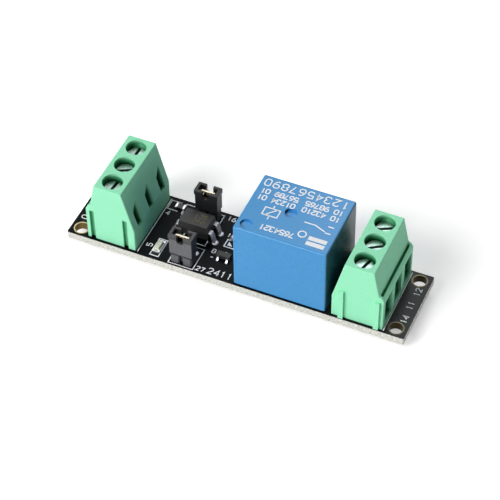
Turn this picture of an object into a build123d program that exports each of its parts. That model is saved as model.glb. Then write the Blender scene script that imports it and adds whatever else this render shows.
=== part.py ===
from build123d import *
import os
from math import cos, radians, sin

# Relay module board, in millimetres.
# The origin is the centre of the four mounting holes, on the underside of the board.
# X runs along the board from the signal end to the contact end, Y across it, Z up.

# Board
board_thickness = 1.6
board_corner = 0.3
board_side_margin = 0.65
input_end_margin = 4.35
output_end_margin = 4.43
parts_zone = 20.75
mount_edge_x = 2.25
mount_edge_y = 2.0
mount_bore = 2.7
eyelet_wall = 0.12
eyelet_ring = 0.12
eyelet_foil = 0.06
tail_length = 1.5
terminal_tail_length = 1.9
hole_play = 0.07

# Terminal blocks: u is measured from the middle of the block, away from the wire side
pitch = 5.08
ways = 3
row_end_extra = 0.13
block_depth = 10.3
top_front_u = -3.0
top_back_u = 2.8
back_wall_height = 5.0
hood_height = 7.4
hood_back_u = -4.15
hood_back_height = 8.55
hood_bulge = 0.16
lip_width = 0.45
channel_floor = 7.2
channel_end_wall = 0.6
block_edge_radius = 0.2
screw_u = -0.15
well_diameter = 4.1
screw_recess = 1.6
head_diameter = 3.8
head_height = 1.6
head_chamfer = 0.2
slot_width = 0.65
slot_depth = 0.7
shank_diameter = 2.5
shank_play = 0.15
nut_play = 0.05
web_thickness = 1.1
clamp_floor_gap = 0.3
clamp_bar = 0.7
clamp_depth = 3.7
clamp_width = 4.0
clamp_wall = 0.6
clamp_side_play = 0.1
clamp_end_play = 0.3
wire_space = 3.3
closed_gap = 0.3
nut_gap = 0.25
nut_thickness = 1.3
web_gap = 0.35
contact_thickness = 0.8
contact_width = 1.9
contact_play = 0.1
contact_leg_u = 2.6
tongue_front_gap = 0.4
tip_gap = 0.1
pin_width = 1.0
mouth_width = 3.5
mouth_bottom = 0.9
mouth_top = 6.7
throat_bottom = 1.2
throat_top = 4.5
test_slot_width = 1.8
test_slot_bottom = 4.8
test_slot_top = 8.5
test_slot_peak = 10.3
test_slot_through_u = 1.5
test_recess_u = 3.6
rib_front_u = -3.9
rib_back_u = 3.15
rib_height = 7.3
rib_root = 0.8
rib_tip = 1.0
rib_depth = 0.5
rib_play = 0.08
input_slot_angles = (86, 27, 90)
output_slot_angles = (27, 33, 75)

# Relay
relay_length = 18.84
relay_width = 15.24
relay_height = 15.5
relay_standoff = 0.3
relay_y = -0.44
relay_block_gap = 1.03
cover_wall = 0.75
cover_top = 0.9
cover_draft = 0.3
cover_side_radius = 0.45
cover_top_radius = 0.4
dimple_diameter = 2.4
corner_dimple_depth = 0.4
middle_dimple_depth = 0.6
dimple_corner_x = 2.13
dimple_corner_y = 1.81
dimple_middle_x = -0.8
base_thickness = 1.3
base_play = 0.05
base_foot_diameter = 1.4
base_foot_inset = 1.6
strip_gap = 0.25
strip_thickness = 0.4
strip_width = 1.8
strip_inset_y = 0.62
strip_inset_x = 1.07
contact_arm_overlap = 1.1
button_diameter = 2.0
button_height = 0.3
contact_gap = 0.03
leaf_thickness = 0.2
leaf_width = 3.2
contact_inset = 3.07
leaf_overhang = 1.1
armature_thickness = 0.9
armature_width = 8.4
armature_length = 8.0
armature_setback = 0.15
armature_tilt = 4.0
yoke_thickness = 1.1
yoke_width = 8.6
yoke_base_gap = 0.5
yoke_wall_gap = 1.82
yoke_leg_extra = 1.2
yoke_contact_gap = 0.03
bobbin_flange = 8.0
bobbin_flange_thickness = 0.8
bobbin_play = 0.05
tube_diameter = 4.6
winding_diameter = 7.4
core_diameter = 3.4
core_stub_diameter = 2.4
pole_diameter = 6.4
pole_thickness = 0.85
common_thickness = 0.5
common_width = 1.4
common_height = 6.0
return_spring_overlap = 3.0
coil_pin_size = 0.6
coil_pin_x_step = 2.0
coil_pin_inset_y = 0.87
coil_pin_height = 1.6
relay_pin_width = 1.0

# Headers and jumper caps
header_pitch = 2.54
header_height = 2.3
header_depth = 2.5
header_segment = 1.85
header_chamfer = 0.25
header_bridge = 1.1
header_pin_size = 0.64
header_pin_top = 6.3
header_tip_chamfer = 0.15
near_header_x = 9.55
near_header_edge = 2.1
near_cap_gap = 0.05
far_header_x = 9.3
far_header_edge = 2.4
far_cap_gap = 0.5
cap_length = 4.75
cap_width = 2.4
cap_height = 5.0
cap_wall = 0.5
cap_edge_radius = 0.12
cap_collar_height = 1.05
cap_collar_overhang = 0.13
cap_mouth_depth = 1.5
cap_notch_width = 1.45
cap_notch_depth = 1.9
clip_thickness = 0.2
clip_gap = 0.05
clip_bottom_gap = 0.5
clip_top_gap = 2.0
clip_bridge_width = 0.7
clip_bridge_height = 0.3
clip_bar_gap = 0.7
clip_bar_length = 2.8
clip_bar_width = 0.4
clip_bar_height = 0.3

# Optocoupler
opto_x = 8.85
opto_y = 1.5
opto_length = 6.4
opto_width = 4.2
opto_bottom = 0.55
opto_lead_height = 2.4
opto_top = 3.95
opto_taper = 9.0
opto_edge_radius = 0.12
opto_row_spacing = 8.7
opto_lead_pitch = 2.54
opto_lead_thickness = 0.25
opto_shoulder_width = 1.1
opto_shoulder_reach = 0.6
opto_shoulder_drop = 2.1
opto_bend_radius = 0.35
opto_tip_width = 0.55

# Chip parts, x from the back face of the signal block and y from the middle of the board
led_x = 3.75
led_y = -5.25
led_length = 3.2
led_width = 1.6
led_base_height = 0.5
led_end_length = 0.45
led_lens_height = 0.6
led_lens_length = 2.1
led_lens_width = 1.3
led_lens_taper = 12.0
resistor_length = 2.0
resistor_width = 1.25
resistor_height = 0.5
resistor_end = 0.4
far_resistor_x = 3.03
far_resistor_y = 6.2
inner_resistor_x = 18.45
inner_resistor_y = (4.3, 6.3)
transistor_x = 16.42
transistor_y = -2.7
transistor_length = 2.9
transistor_width = 1.3
transistor_height = 1.0
transistor_stand = 0.1
transistor_lead_pitch = 1.9
transistor_lead_width = 0.42
lead_thickness = 0.13
lead_reach = 0.7
chip_taper = 8.0
diode_x = 16.35
diode_y = 3.5
diode_length = 3.5
diode_glass_diameter = 1.3
diode_end_diameter = 1.5
diode_end_length = 0.45

# Solder
solder_radius = 0.95
solder_height = 0.9
solder_neck = 0.42
spare_pad_radius = 0.7
spare_dome_height = 0.18
spare_dome_top = 0.4
leg_mound_radius = 0.65
leg_mound_top = 0.4
leg_mound_height = 0.2

# Worked out from the sizes above
row_length = ways * pitch + 2 * row_end_extra
board_width = row_length + 2 * board_side_margin
relay_zone = relay_length + relay_block_gap
board_length = input_end_margin + 2 * block_depth + parts_zone + relay_zone + output_end_margin
input_x = -board_length / 2 + input_end_margin + block_depth / 2
output_x = board_length / 2 - output_end_margin - block_depth / 2
zone_x = input_x + block_depth / 2
relay_x = output_x - block_depth / 2 - relay_block_gap - relay_length / 2
board_top = board_thickness
way_positions = [(way - (ways - 1) / 2) * pitch for way in range(ways)]
eyelet_radius = mount_bore / 2 + eyelet_wall

# Heights in a terminal block, above the board
clamp_height = clamp_bar + wire_space + contact_thickness + nut_gap + nut_thickness
clamp_travel = wire_space - closed_gap
tongue_height = clamp_floor_gap + clamp_bar + wire_space
web_height = clamp_floor_gap + clamp_height + clamp_travel + web_gap
seat_height = web_height + web_thickness
block_height = seat_height + head_height + screw_recess
cavity_front_u = screw_u - clamp_depth / 2 - clamp_end_play
cavity_back_u = screw_u + clamp_depth / 2 + clamp_end_play


def finish(piece, name):
    """Label a finished piece and write it to its own file."""
    piece.part.label = name
    export_step(piece.part, f"parts/{name}.step")


def above_board(x, y, height=0.0):
    """Horizontal plane at a height over the board's top face."""
    return Plane(origin=(x, y, board_top + height))


def block_section(x, side, along=0.0):
    """Upright plane across a terminal block: u to the right, height up. Side is 1 or -1."""
    return Plane(origin=(x, side * along, board_top), x_dir=(side, 0, 0), z_dir=(0, -side, 0))


def block_plan(x, side, height):
    """Horizontal plane in a terminal block: u to the right, along the row up."""
    return Plane(origin=(x, 0, board_top + height), x_dir=(side, 0, 0))


def block_face(x, side, u):
    """Upright plane facing the back of a terminal block: along the row to the right, height up."""
    return Plane(origin=(x + side * u, 0, board_top), x_dir=(0, side, 0), z_dir=(side, 0, 0))


os.makedirs("parts", exist_ok=True)


# Terminal blocks
def terminal_housing(x, side):
    """Green moulding with screw wells, wire mouths, test slots and joining ribs."""
    front = -block_depth / 2
    back = block_depth / 2
    bulge = ((front + hood_back_u) / 2 - hood_bulge, (hood_height + hood_back_height) / 2 + hood_bulge)
    with BuildPart() as housing:
        with BuildSketch(block_section(x, side)):
            with BuildLine():
                Line((front, 0), (front, hood_height))
                ThreePointArc((front, hood_height), bulge, (hood_back_u, hood_back_height))
                Polyline(
                    (hood_back_u, hood_back_height),
                    (top_front_u, block_height),
                    (top_back_u, block_height),
                    (back, back_wall_height),
                    (back, 0),
                    (front, 0),
                )
            make_face()
        extrude(amount=row_length / 2, both=True)
        upper = housing.edges().filter_by_position(Axis.Z, board_top + 0.1, board_top + block_height)
        fillet(upper, block_edge_radius)
        # The channel behind the lip of the hood stops short of both end walls.
        with BuildSketch(block_section(x, side)):
            with BuildLine():
                Polyline(
                    (front + lip_width, channel_floor),
                    (hood_back_u, channel_floor),
                    (hood_back_u, hood_back_height + block_edge_radius),
                    (front + lip_width, hood_back_height + block_edge_radius),
                    close=True,
                )
            make_face()
        extrude(amount=row_length / 2 - channel_end_wall, both=True, mode=Mode.SUBTRACT)
        # Screw wells, the holes for the shanks and the clamp cavities open at the bottom
        with BuildSketch(block_plan(x, side, seat_height)):
            with Locations([(screw_u, along) for along in way_positions]):
                Circle(well_diameter / 2)
        extrude(amount=block_height, mode=Mode.SUBTRACT)
        with BuildSketch(block_plan(x, side, web_height)):
            with Locations([(screw_u, along) for along in way_positions]):
                Circle(shank_diameter / 2 + shank_play)
        extrude(amount=block_height, mode=Mode.SUBTRACT)
        with BuildSketch(block_plan(x, side, 0)):
            with Locations([((cavity_front_u + cavity_back_u) / 2, along) for along in way_positions]):
                Rectangle(cavity_back_u - cavity_front_u, clamp_width + 2 * clamp_side_play)
        extrude(amount=web_height, mode=Mode.SUBTRACT)
        leg_outer = contact_leg_u + contact_thickness / 2 + contact_play
        with BuildSketch(block_plan(x, side, 0)):
            with Locations([((cavity_back_u + leg_outer) / 2, along) for along in way_positions]):
                Rectangle(leg_outer - cavity_back_u + contact_play, contact_width + 2 * contact_play)
        extrude(amount=tongue_height + contact_thickness + contact_play, mode=Mode.SUBTRACT)
        # Wire mouths, wide at the face and narrower at the clamp
        for along in way_positions:
            with BuildSketch(block_section(x, side, along)):
                with BuildLine():
                    Polyline(
                        (front - 1, mouth_bottom),
                        (front, mouth_bottom),
                        (cavity_front_u + 0.1, throat_bottom),
                        (cavity_front_u + 0.1, throat_top),
                        (front, mouth_top),
                        (front - 1, mouth_top),
                        close=True,
                    )
                make_face()
            extrude(amount=mouth_width / 2, both=True, mode=Mode.SUBTRACT)
        # Test slots in the sloping back, with a shallow recess that rises to one side
        half = test_slot_width / 2
        with BuildSketch(block_face(x, side, test_slot_through_u)):
            for along in way_positions:
                with BuildLine():
                    Polyline(
                        (along - half, test_slot_bottom),
                        (along + half, test_slot_bottom),
                        (along + half, test_slot_top),
                        (along - half, test_slot_top),
                        close=True,
                    )
                make_face()
        extrude(amount=block_depth, mode=Mode.SUBTRACT)
        with BuildSketch(block_face(x, side, test_recess_u)):
            for along in way_positions:
                with BuildLine():
                    Polyline(
                        (along - half, test_slot_top - 0.01),
                        (along + half, test_slot_top - 0.01),
                        (along + half, test_slot_peak),
                        close=True,
                    )
                make_face()
        extrude(amount=block_depth, mode=Mode.SUBTRACT)
        # Joining ribs on one end and the grooves that take them on the other
        with BuildSketch(block_plan(x, side, 0)):
            for rib_u in (rib_front_u, rib_back_u):
                with BuildLine():
                    Polyline(
                        (rib_u - rib_root / 2, row_length / 2 - 0.05),
                        (rib_u + rib_root / 2, row_length / 2 - 0.05),
                        (rib_u + rib_tip / 2, row_length / 2 + rib_depth),
                        (rib_u - rib_tip / 2, row_length / 2 + rib_depth),
                        close=True,
                    )
                make_face()
        extrude(amount=rib_height)
        with BuildSketch(block_plan(x, side, 0)):
            for rib_u in (rib_front_u, rib_back_u):
                with BuildLine():
                    Polyline(
                        (rib_u - rib_root / 2 - rib_play, -row_length / 2 - 0.1),
                        (rib_u + rib_root / 2 + rib_play, -row_length / 2 - 0.1),
                        (rib_u + rib_tip / 2 + rib_play, -row_length / 2 + rib_depth + rib_play),
                        (rib_u - rib_tip / 2 - rib_play, -row_length / 2 + rib_depth + rib_play),
                        close=True,
                    )
                make_face()
        extrude(amount=rib_height + rib_play, mode=Mode.SUBTRACT)
    return housing


def terminal_screw(x, side, along, slot_angle):
    """Slotted screw whose head stands on the web of the housing."""
    with BuildPart() as screw:
        with BuildSketch(block_plan(x, side, seat_height)):
            with Locations((screw_u, along)):
                Circle(head_diameter / 2)
        extrude(amount=head_height)
        chamfer(screw.faces().sort_by(Axis.Z)[-1].edges(), head_chamfer)
        with BuildSketch(block_plan(x, side, seat_height)):
            with Locations((screw_u, along)):
                Circle(shank_diameter / 2)
        extrude(amount=-(seat_height - tongue_height - contact_thickness - tip_gap))
        chamfer(screw.faces().sort_by(Axis.Z)[0].edges(), head_chamfer)
        with BuildSketch(block_plan(x, side, seat_height + head_height - slot_depth)):
            with Locations((screw_u, along)):
                Rectangle(head_diameter + 1, slot_width, rotation=slot_angle)
        extrude(amount=slot_depth + 1, mode=Mode.SUBTRACT)
    return screw


def rising_clamp(x, side, along):
    """Steel loop around the contact: nut above, bar below, open along the wire."""
    with BuildPart() as clamp:
        with BuildSketch(block_plan(x, side, clamp_floor_gap)):
            with Locations((screw_u, along)):
                Rectangle(clamp_depth, clamp_width)
        extrude(amount=clamp_height)
        fillet(clamp.edges().filter_by(Axis.X), clamp_wall / 2)
        with BuildSketch(block_section(x, side, along)):
            with Locations((screw_u, clamp_floor_gap + clamp_bar)):
                Rectangle(
                    clamp_depth + 1,
                    clamp_height - clamp_bar - nut_thickness,
                    align=(Align.CENTER, Align.MIN),
                )
        extrude(amount=clamp_width / 2 - clamp_wall, both=True, mode=Mode.SUBTRACT)
        with BuildSketch(block_plan(x, side, clamp_floor_gap + clamp_bar + wire_space)):
            with Locations((screw_u, along)):
                Circle(shank_diameter / 2 + nut_play)
        extrude(amount=clamp_height, mode=Mode.SUBTRACT)
    return clamp


def terminal_contact(x, side, along):
    """Bent strip: a tongue through the clamp, a leg at the back and the solder pin."""
    leg_back = contact_leg_u + contact_thickness / 2
    leg_front = contact_leg_u - contact_thickness / 2
    tongue_front = screw_u - clamp_depth / 2 + tongue_front_gap
    top = tongue_height + contact_thickness
    with BuildPart() as contact:
        with BuildSketch(block_section(x, side, along)):
            with BuildLine():
                Polyline(
                    (leg_front, 0),
                    (leg_back, 0),
                    (leg_back, top),
                    (tongue_front, top),
                    (tongue_front, tongue_height),
                    (leg_front, tongue_height),
                    close=True,
                )
            make_face()
        extrude(amount=contact_width / 2, both=True)
        fillet(contact.edges().filter_by(Axis.Y).sort_by(Axis.Z)[-2:], contact_thickness / 3)
        with BuildSketch(block_plan(x, side, 0)):
            with Locations((contact_leg_u, along)):
                Rectangle(contact_thickness, pin_width)
        extrude(amount=-(board_thickness + terminal_tail_length))
    return contact


blocks = (("input", input_x, 1, input_slot_angles), ("output", output_x, -1, output_slot_angles))
soldered = []
for block, x, side, slot_angles in blocks:
    housing = terminal_housing(x, side)
    finish(housing, f"{block}_block_housing")
    for way, along in enumerate(way_positions):
        screw = terminal_screw(x, side, along, slot_angles[way])
        finish(screw, f"{block}_screw_{way + 1}")
        clamp = rising_clamp(x, side, along)
        finish(clamp, f"{block}_clamp_{way + 1}")
        contact = terminal_contact(x, side, along)
        finish(contact, f"{block}_contact_{way + 1}")
        soldered.append(contact)

# Relay: the contact end faces the output block, the coil and common pins are at the other end
inner_half_length = relay_length / 2 - cover_wall
inner_half_width = relay_width / 2 - cover_wall
inner_top = relay_height - cover_top
base_top = relay_standoff + base_thickness
pivot_x = relay_x - inner_half_length + yoke_wall_gap
leaf_reach = 2 * inner_half_length - yoke_wall_gap - contact_inset
yoke_inner_x = pivot_x + yoke_thickness
closed_strip_top = inner_top - strip_gap
closed_button_bottom = closed_strip_top - strip_thickness - button_height
leaf_top = armature_thickness + leaf_thickness
tilt = radians(armature_tilt)
moving_rise = (leaf_reach + button_diameter / 2) * sin(tilt) + (leaf_top + button_height) * cos(tilt)
pivot_height = closed_button_bottom - contact_gap - moving_rise
yoke_top = pivot_height - yoke_contact_gap
yoke_bottom = base_top + yoke_base_gap
bobbin_bottom = yoke_bottom + yoke_thickness
bobbin_top = yoke_top - pole_thickness
bobbin_x = yoke_inner_x + bobbin_play + bobbin_flange / 2
contact_x = pivot_x + leaf_reach
open_button_top = pivot_height + armature_thickness - button_height - contact_gap
open_strip_top = open_button_top - button_height
strip_outer_x = relay_x + inner_half_length - strip_inset_x
strip_y = inner_half_width - strip_inset_y - strip_thickness / 2
coil_pin_x = pivot_x + coil_pin_x_step - common_thickness / 2
coil_pin_y = inner_half_width - coil_pin_inset_y


def relay_plane(height, x=0.0, y=0.0):
    """Horizontal plane in the relay at a height over the board."""
    return above_board(x, relay_y + y, height)


with BuildPart() as relay_cover:
    with BuildSketch(relay_plane(relay_standoff, relay_x)):
        RectangleRounded(relay_length, relay_width, cover_side_radius)
    extrude(amount=relay_height - relay_standoff, taper=cover_draft)
    fillet(relay_cover.faces().sort_by(Axis.Z)[-1].edges(), cover_top_radius)
    with BuildSketch(relay_plane(relay_standoff, relay_x)):
        Rectangle(2 * inner_half_length, 2 * inner_half_width)
    extrude(amount=inner_top - relay_standoff, taper=cover_draft, mode=Mode.SUBTRACT)
    for dimple_x, dimple_y, depth in (
        (-relay_length / 2 + dimple_corner_x, -relay_width / 2 + dimple_corner_y, corner_dimple_depth),
        (dimple_middle_x, 0, middle_dimple_depth),
    ):
        with BuildSketch(relay_plane(relay_height - depth, relay_x)):
            with Locations((dimple_x, dimple_y)):
                Circle(dimple_diameter / 2)
        extrude(amount=depth + 1, mode=Mode.SUBTRACT)
finish(relay_cover, "relay_cover")

# Fixed contacts: a strip rises at the side and its arm reaches over the middle
for name, edge, arm_top, face, arm_side in (
    ("relay_open_contact", -1, open_strip_top, open_button_top, 1),
    ("relay_closed_contact", 1, closed_strip_top, closed_button_bottom, -1),
):
    with BuildPart() as fixed_contact:
        with BuildSketch(relay_plane(base_top, 0, edge * strip_y)):
            with Locations(((strip_outer_x + contact_x - strip_width / 2) / 2, 0)):
                Rectangle(strip_outer_x - contact_x + strip_width / 2, strip_thickness)
        extrude(amount=arm_top - base_top)
        with BuildSketch(relay_plane(arm_top - strip_thickness, contact_x)):
            with Locations((0, edge * (strip_y + strip_thickness / 2))):
                Rectangle(
                    strip_width,
                    strip_y + strip_thickness / 2 + contact_arm_overlap,
                    align=(Align.CENTER, Align.MAX if edge > 0 else Align.MIN),
                )
        extrude(amount=strip_thickness)
        with BuildSketch(relay_plane(face, contact_x)):
            Circle(button_diameter / 2)
        extrude(amount=-arm_side * button_height)
        with BuildSketch(relay_plane(base_top, strip_outer_x - relay_pin_width / 2, edge * strip_y)):
            Rectangle(relay_pin_width, strip_thickness)
        extrude(amount=-(base_top + board_thickness + tail_length))
    finish(fixed_contact, name)
    soldered.append(fixed_contact)

with BuildPart() as relay_yoke:
    with BuildSketch(relay_plane(yoke_bottom)):
        with Locations((pivot_x, 0)):
            Rectangle(yoke_thickness, yoke_width, align=(Align.MIN, Align.CENTER))
    extrude(amount=yoke_top - yoke_bottom)
    with BuildSketch(relay_plane(yoke_bottom)):
        with Locations((pivot_x, 0)):
            leg_length = bobbin_x + core_stub_diameter / 2 + yoke_leg_extra - pivot_x
            Rectangle(leg_length, yoke_width, align=(Align.MIN, Align.CENTER))
    extrude(amount=yoke_thickness)
    with BuildSketch(relay_plane(yoke_bottom, bobbin_x)):
        Circle(core_stub_diameter / 2)
    extrude(amount=yoke_thickness, mode=Mode.SUBTRACT)
finish(relay_yoke, "relay_yoke")

with BuildPart() as relay_core:
    with BuildSketch(relay_plane(yoke_bottom, bobbin_x)):
        Circle(core_stub_diameter / 2)
    extrude(amount=yoke_thickness)
    with BuildSketch(relay_plane(bobbin_bottom, bobbin_x)):
        Circle(core_diameter / 2)
    extrude(amount=bobbin_top - bobbin_bottom)
    with BuildSketch(relay_plane(bobbin_top, bobbin_x)):
        Circle(pole_diameter / 2)
    extrude(amount=pole_thickness)
finish(relay_core, "relay_core")

with BuildPart() as relay_bobbin:
    with BuildSketch(relay_plane(bobbin_bottom, bobbin_x)):
        Rectangle(bobbin_flange, bobbin_flange)
    extrude(amount=bobbin_flange_thickness)
    with BuildSketch(relay_plane(bobbin_bottom, bobbin_x)):
        Circle(tube_diameter / 2)
    extrude(amount=bobbin_top - bobbin_bottom)
    with BuildSketch(relay_plane(bobbin_top - bobbin_flange_thickness, bobbin_x)):
        Rectangle(bobbin_flange, bobbin_flange)
    extrude(amount=bobbin_flange_thickness)
    fillet(relay_bobbin.edges().filter_by(Axis.Z).filter_by(GeomType.LINE), bobbin_flange_thickness)
    with BuildSketch(relay_plane(bobbin_bottom, bobbin_x)):
        Circle(core_diameter / 2 + bobbin_play)
    extrude(amount=bobbin_top - bobbin_bottom, mode=Mode.SUBTRACT)
finish(relay_bobbin, "relay_bobbin")

with BuildPart() as relay_winding:
    with BuildSketch(relay_plane(bobbin_bottom + bobbin_flange_thickness, bobbin_x)):
        Circle(winding_diameter / 2)
        Circle(tube_diameter / 2, mode=Mode.SUBTRACT)
    extrude(amount=bobbin_top - bobbin_bottom - 2 * bobbin_flange_thickness)
finish(relay_winding, "relay_winding")

# The moving pieces are drawn in the tilted plane of the armature, as it rests with the coil off.
armature_plane = Plane(
    origin=(pivot_x, relay_y, board_top + pivot_height),
    x_dir=(cos(tilt), 0, sin(tilt)),
    z_dir=(-sin(tilt), 0, cos(tilt)),
)
with BuildPart() as relay_armature:
    with BuildSketch(armature_plane):
        with Locations((armature_setback, 0)):
            Rectangle(armature_length, armature_width, align=(Align.MIN, Align.CENTER))
    extrude(amount=armature_thickness)
    fillet(relay_armature.edges().group_by(Edge.length)[0], armature_thickness / 3)
finish(relay_armature, "relay_armature")

with BuildPart() as relay_leaf:
    with BuildSketch(armature_plane.offset(armature_thickness)):
        with Locations((armature_setback, 0)):
            leaf_length = leaf_reach + leaf_overhang - armature_setback
            Rectangle(leaf_length, leaf_width, align=(Align.MIN, Align.CENTER))
        with Locations((leaf_reach, 0)):
            Circle(button_diameter / 4, mode=Mode.SUBTRACT)
    extrude(amount=leaf_thickness)
finish(relay_leaf, "relay_leaf")

with BuildPart() as relay_moving_button:
    with BuildSketch(armature_plane.offset(leaf_top)):
        with Locations((leaf_reach, 0)):
            Circle(button_diameter / 2)
    extrude(amount=button_height)
    with BuildSketch(armature_plane.offset(armature_thickness)):
        with Locations((leaf_reach, 0)):
            Circle(button_diameter / 2)
    extrude(amount=-button_height)
    with BuildSketch(armature_plane.offset(armature_thickness)):
        with Locations((leaf_reach, 0)):
            Circle(button_diameter / 4)
    extrude(amount=leaf_thickness)
finish(relay_moving_button, "relay_moving_button")

with BuildPart() as relay_common_pin:
    with BuildSketch(relay_plane(-(board_thickness + tail_length), pivot_x)):
        Rectangle(common_thickness, relay_pin_width, align=(Align.MAX, Align.CENTER))
    extrude(amount=board_thickness + tail_length + base_top)
    with BuildSketch(relay_plane(base_top, pivot_x)):
        Rectangle(common_thickness, common_width, align=(Align.MAX, Align.CENTER))
    extrude(amount=common_height - base_top)
finish(relay_common_pin, "relay_common_pin")
soldered.append(relay_common_pin)

with BuildPart() as relay_return_spring:
    with BuildSketch(relay_plane(common_height + contact_gap, pivot_x)):
        Rectangle(leaf_thickness, leaf_width, align=(Align.MAX, Align.CENTER))
    extrude(amount=pivot_height + armature_thickness - common_height - contact_gap)
finish(relay_return_spring, "relay_return_spring")

for number, edge in enumerate((-1, 1)):
    with BuildPart() as coil_pin:
        with BuildSketch(relay_plane(-(board_thickness + tail_length), coil_pin_x, edge * coil_pin_y)):
            Rectangle(coil_pin_size, coil_pin_size)
        extrude(amount=board_thickness + tail_length + base_top + coil_pin_height)
        chamfer(coil_pin.faces().sort_by(Axis.Z)[-1].edges(), header_tip_chamfer)
    finish(coil_pin, f"relay_coil_pin_{number + 1}")
    soldered.append(coil_pin)

with BuildPart() as relay_base:
    with BuildSketch(relay_plane(relay_standoff, relay_x)):
        Rectangle(2 * (inner_half_length - base_play), 2 * (inner_half_width - base_play))
    extrude(amount=base_thickness, taper=cover_draft)
    with BuildSketch(relay_plane(0, relay_x)):
        foot_x = inner_half_length - base_foot_inset
        foot_y = inner_half_width - base_foot_inset
        with Locations((-foot_x, -foot_y), (-foot_x, foot_y), (foot_x, -foot_y), (foot_x, foot_y)):
            Circle(base_foot_diameter / 2)
    extrude(amount=relay_standoff)
    # Square stubs carry the yoke
    with BuildSketch(relay_plane(base_top)):
        with Locations((pivot_x + yoke_thickness / 2, 0), (bobbin_x, 0)):
            Rectangle(yoke_thickness, yoke_width / 2)
    extrude(amount=yoke_base_gap)
    for pin in soldered[2 * ways:]:
        add(pin.part, mode=Mode.SUBTRACT)
finish(relay_base, "relay_base")

# Headers with their jumper caps
near_header_y = -board_width / 2 + near_header_edge
far_header_y = board_width / 2 - far_header_edge
headers = (
    ("near", zone_x + near_header_x, near_header_y, near_cap_gap),
    ("far", zone_x + far_header_x, far_header_y, far_cap_gap),
)
for name, x, y, cap_gap in headers:
    half = header_pitch / 2
    with BuildPart() as header_base:
        with BuildSketch(above_board(x, y)) as outline:
            with Locations((-half, 0), (half, 0)):
                Rectangle(header_segment, header_depth)
            chamfer(outline.vertices(), header_chamfer)
            Rectangle(header_pitch, header_bridge)
        extrude(amount=header_height)
        with BuildSketch(above_board(x, y)):
            with Locations((-half, 0), (half, 0)):
                Rectangle(header_pin_size, header_pin_size)
        extrude(amount=header_height, mode=Mode.SUBTRACT)
    finish(header_base, f"{name}_header_base")
    with BuildPart() as header_pins:
        with BuildSketch(above_board(x, y, -(board_thickness + tail_length))):
            with Locations((-half, 0), (half, 0)):
                Rectangle(header_pin_size, header_pin_size)
        extrude(amount=board_thickness + tail_length + header_pin_top)
        chamfer(header_pins.faces().group_by(Axis.Z)[-1].edges(), header_tip_chamfer)
        chamfer(header_pins.faces().group_by(Axis.Z)[0].edges(), header_tip_chamfer)
    finish(header_pins, f"{name}_header_pins")
    soldered.append(header_pins)

    cap_bottom = header_height + cap_gap
    clip_inner = header_pin_size / 2 + clip_gap
    clip_outer = clip_inner + clip_thickness
    cap_top = cap_bottom + cap_height
    with BuildPart() as jumper_cap:
        with BuildSketch(above_board(x, y, cap_bottom)):
            Rectangle(cap_length, cap_width)
        extrude(amount=cap_height)
        with BuildSketch(above_board(x, y, cap_top - cap_collar_height)):
            Rectangle(cap_length + 2 * cap_collar_overhang, cap_width + 2 * cap_collar_overhang)
        extrude(amount=cap_collar_height)
        fillet(jumper_cap.edges().filter_by(Axis.Z), cap_edge_radius)
        fillet(jumper_cap.faces().sort_by(Axis.Z)[-1].edges(), cap_edge_radius)
        with BuildSketch(above_board(x, y, cap_bottom)):
            Rectangle(cap_length - 2 * cap_wall, 2 * clip_outer)
        extrude(amount=cap_height, mode=Mode.SUBTRACT)
        with BuildSketch(above_board(x, y, cap_top - cap_mouth_depth)):
            Rectangle(cap_length - 2 * cap_wall, cap_width - 2 * cap_wall + cap_collar_overhang)
        extrude(amount=cap_mouth_depth, mode=Mode.SUBTRACT)
        # Round-bottomed notches in the middle of both long walls
        with BuildSketch(Plane(origin=(x, y, board_top + cap_top), x_dir=(1, 0, 0), z_dir=(0, -1, 0))):
            with Locations((0, -cap_notch_depth + cap_notch_width / 2)):
                Circle(cap_notch_width / 2)
                Rectangle(cap_notch_width, cap_notch_depth, align=(Align.CENTER, Align.MIN))
        extrude(amount=cap_width, both=True, mode=Mode.SUBTRACT)
    finish(jumper_cap, f"{name}_jumper_cap")

    with BuildPart() as jumper_clip:
        clip_height = cap_height - clip_bottom_gap - clip_top_gap
        with BuildSketch(above_board(x, y, cap_bottom + clip_bottom_gap)):
            with Locations((0, (clip_inner + clip_outer) / 2), (0, -(clip_inner + clip_outer) / 2)):
                Rectangle(cap_length - 2 * cap_wall, clip_thickness)
        extrude(amount=clip_height)
        with BuildSketch(above_board(x, y, cap_top - clip_top_gap - clip_bridge_height)):
            Rectangle(clip_bridge_width, 2 * clip_inner)
        extrude(amount=clip_bridge_height)
        bar_foot = cap_top - clip_bar_gap - clip_bar_height
        with BuildSketch(above_board(x, y, cap_top - clip_top_gap)):
            Rectangle(clip_bridge_width, clip_bar_width)
        extrude(amount=bar_foot - cap_top + clip_top_gap)
        with BuildSketch(above_board(x, y, bar_foot)):
            Rectangle(clip_bar_length, clip_bar_width)
        extrude(amount=clip_bar_height)
    finish(jumper_clip, f"{name}_jumper_clip")

# Optocoupler
opto_plane_x = zone_x + opto_x
with BuildPart() as optocoupler_body:
    with BuildSketch(above_board(opto_plane_x, opto_y, opto_lead_height)):
        Rectangle(opto_length, opto_width)
    extrude(amount=opto_top - opto_lead_height, taper=opto_taper)
    with BuildSketch(above_board(opto_plane_x, opto_y, opto_lead_height)):
        Rectangle(opto_length, opto_width)
    extrude(amount=-(opto_lead_height - opto_bottom), taper=opto_taper)
    fillet(optocoupler_body.faces().sort_by(Axis.Z)[-1].edges(), opto_edge_radius)
finish(optocoupler_body, "optocoupler_body")

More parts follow.
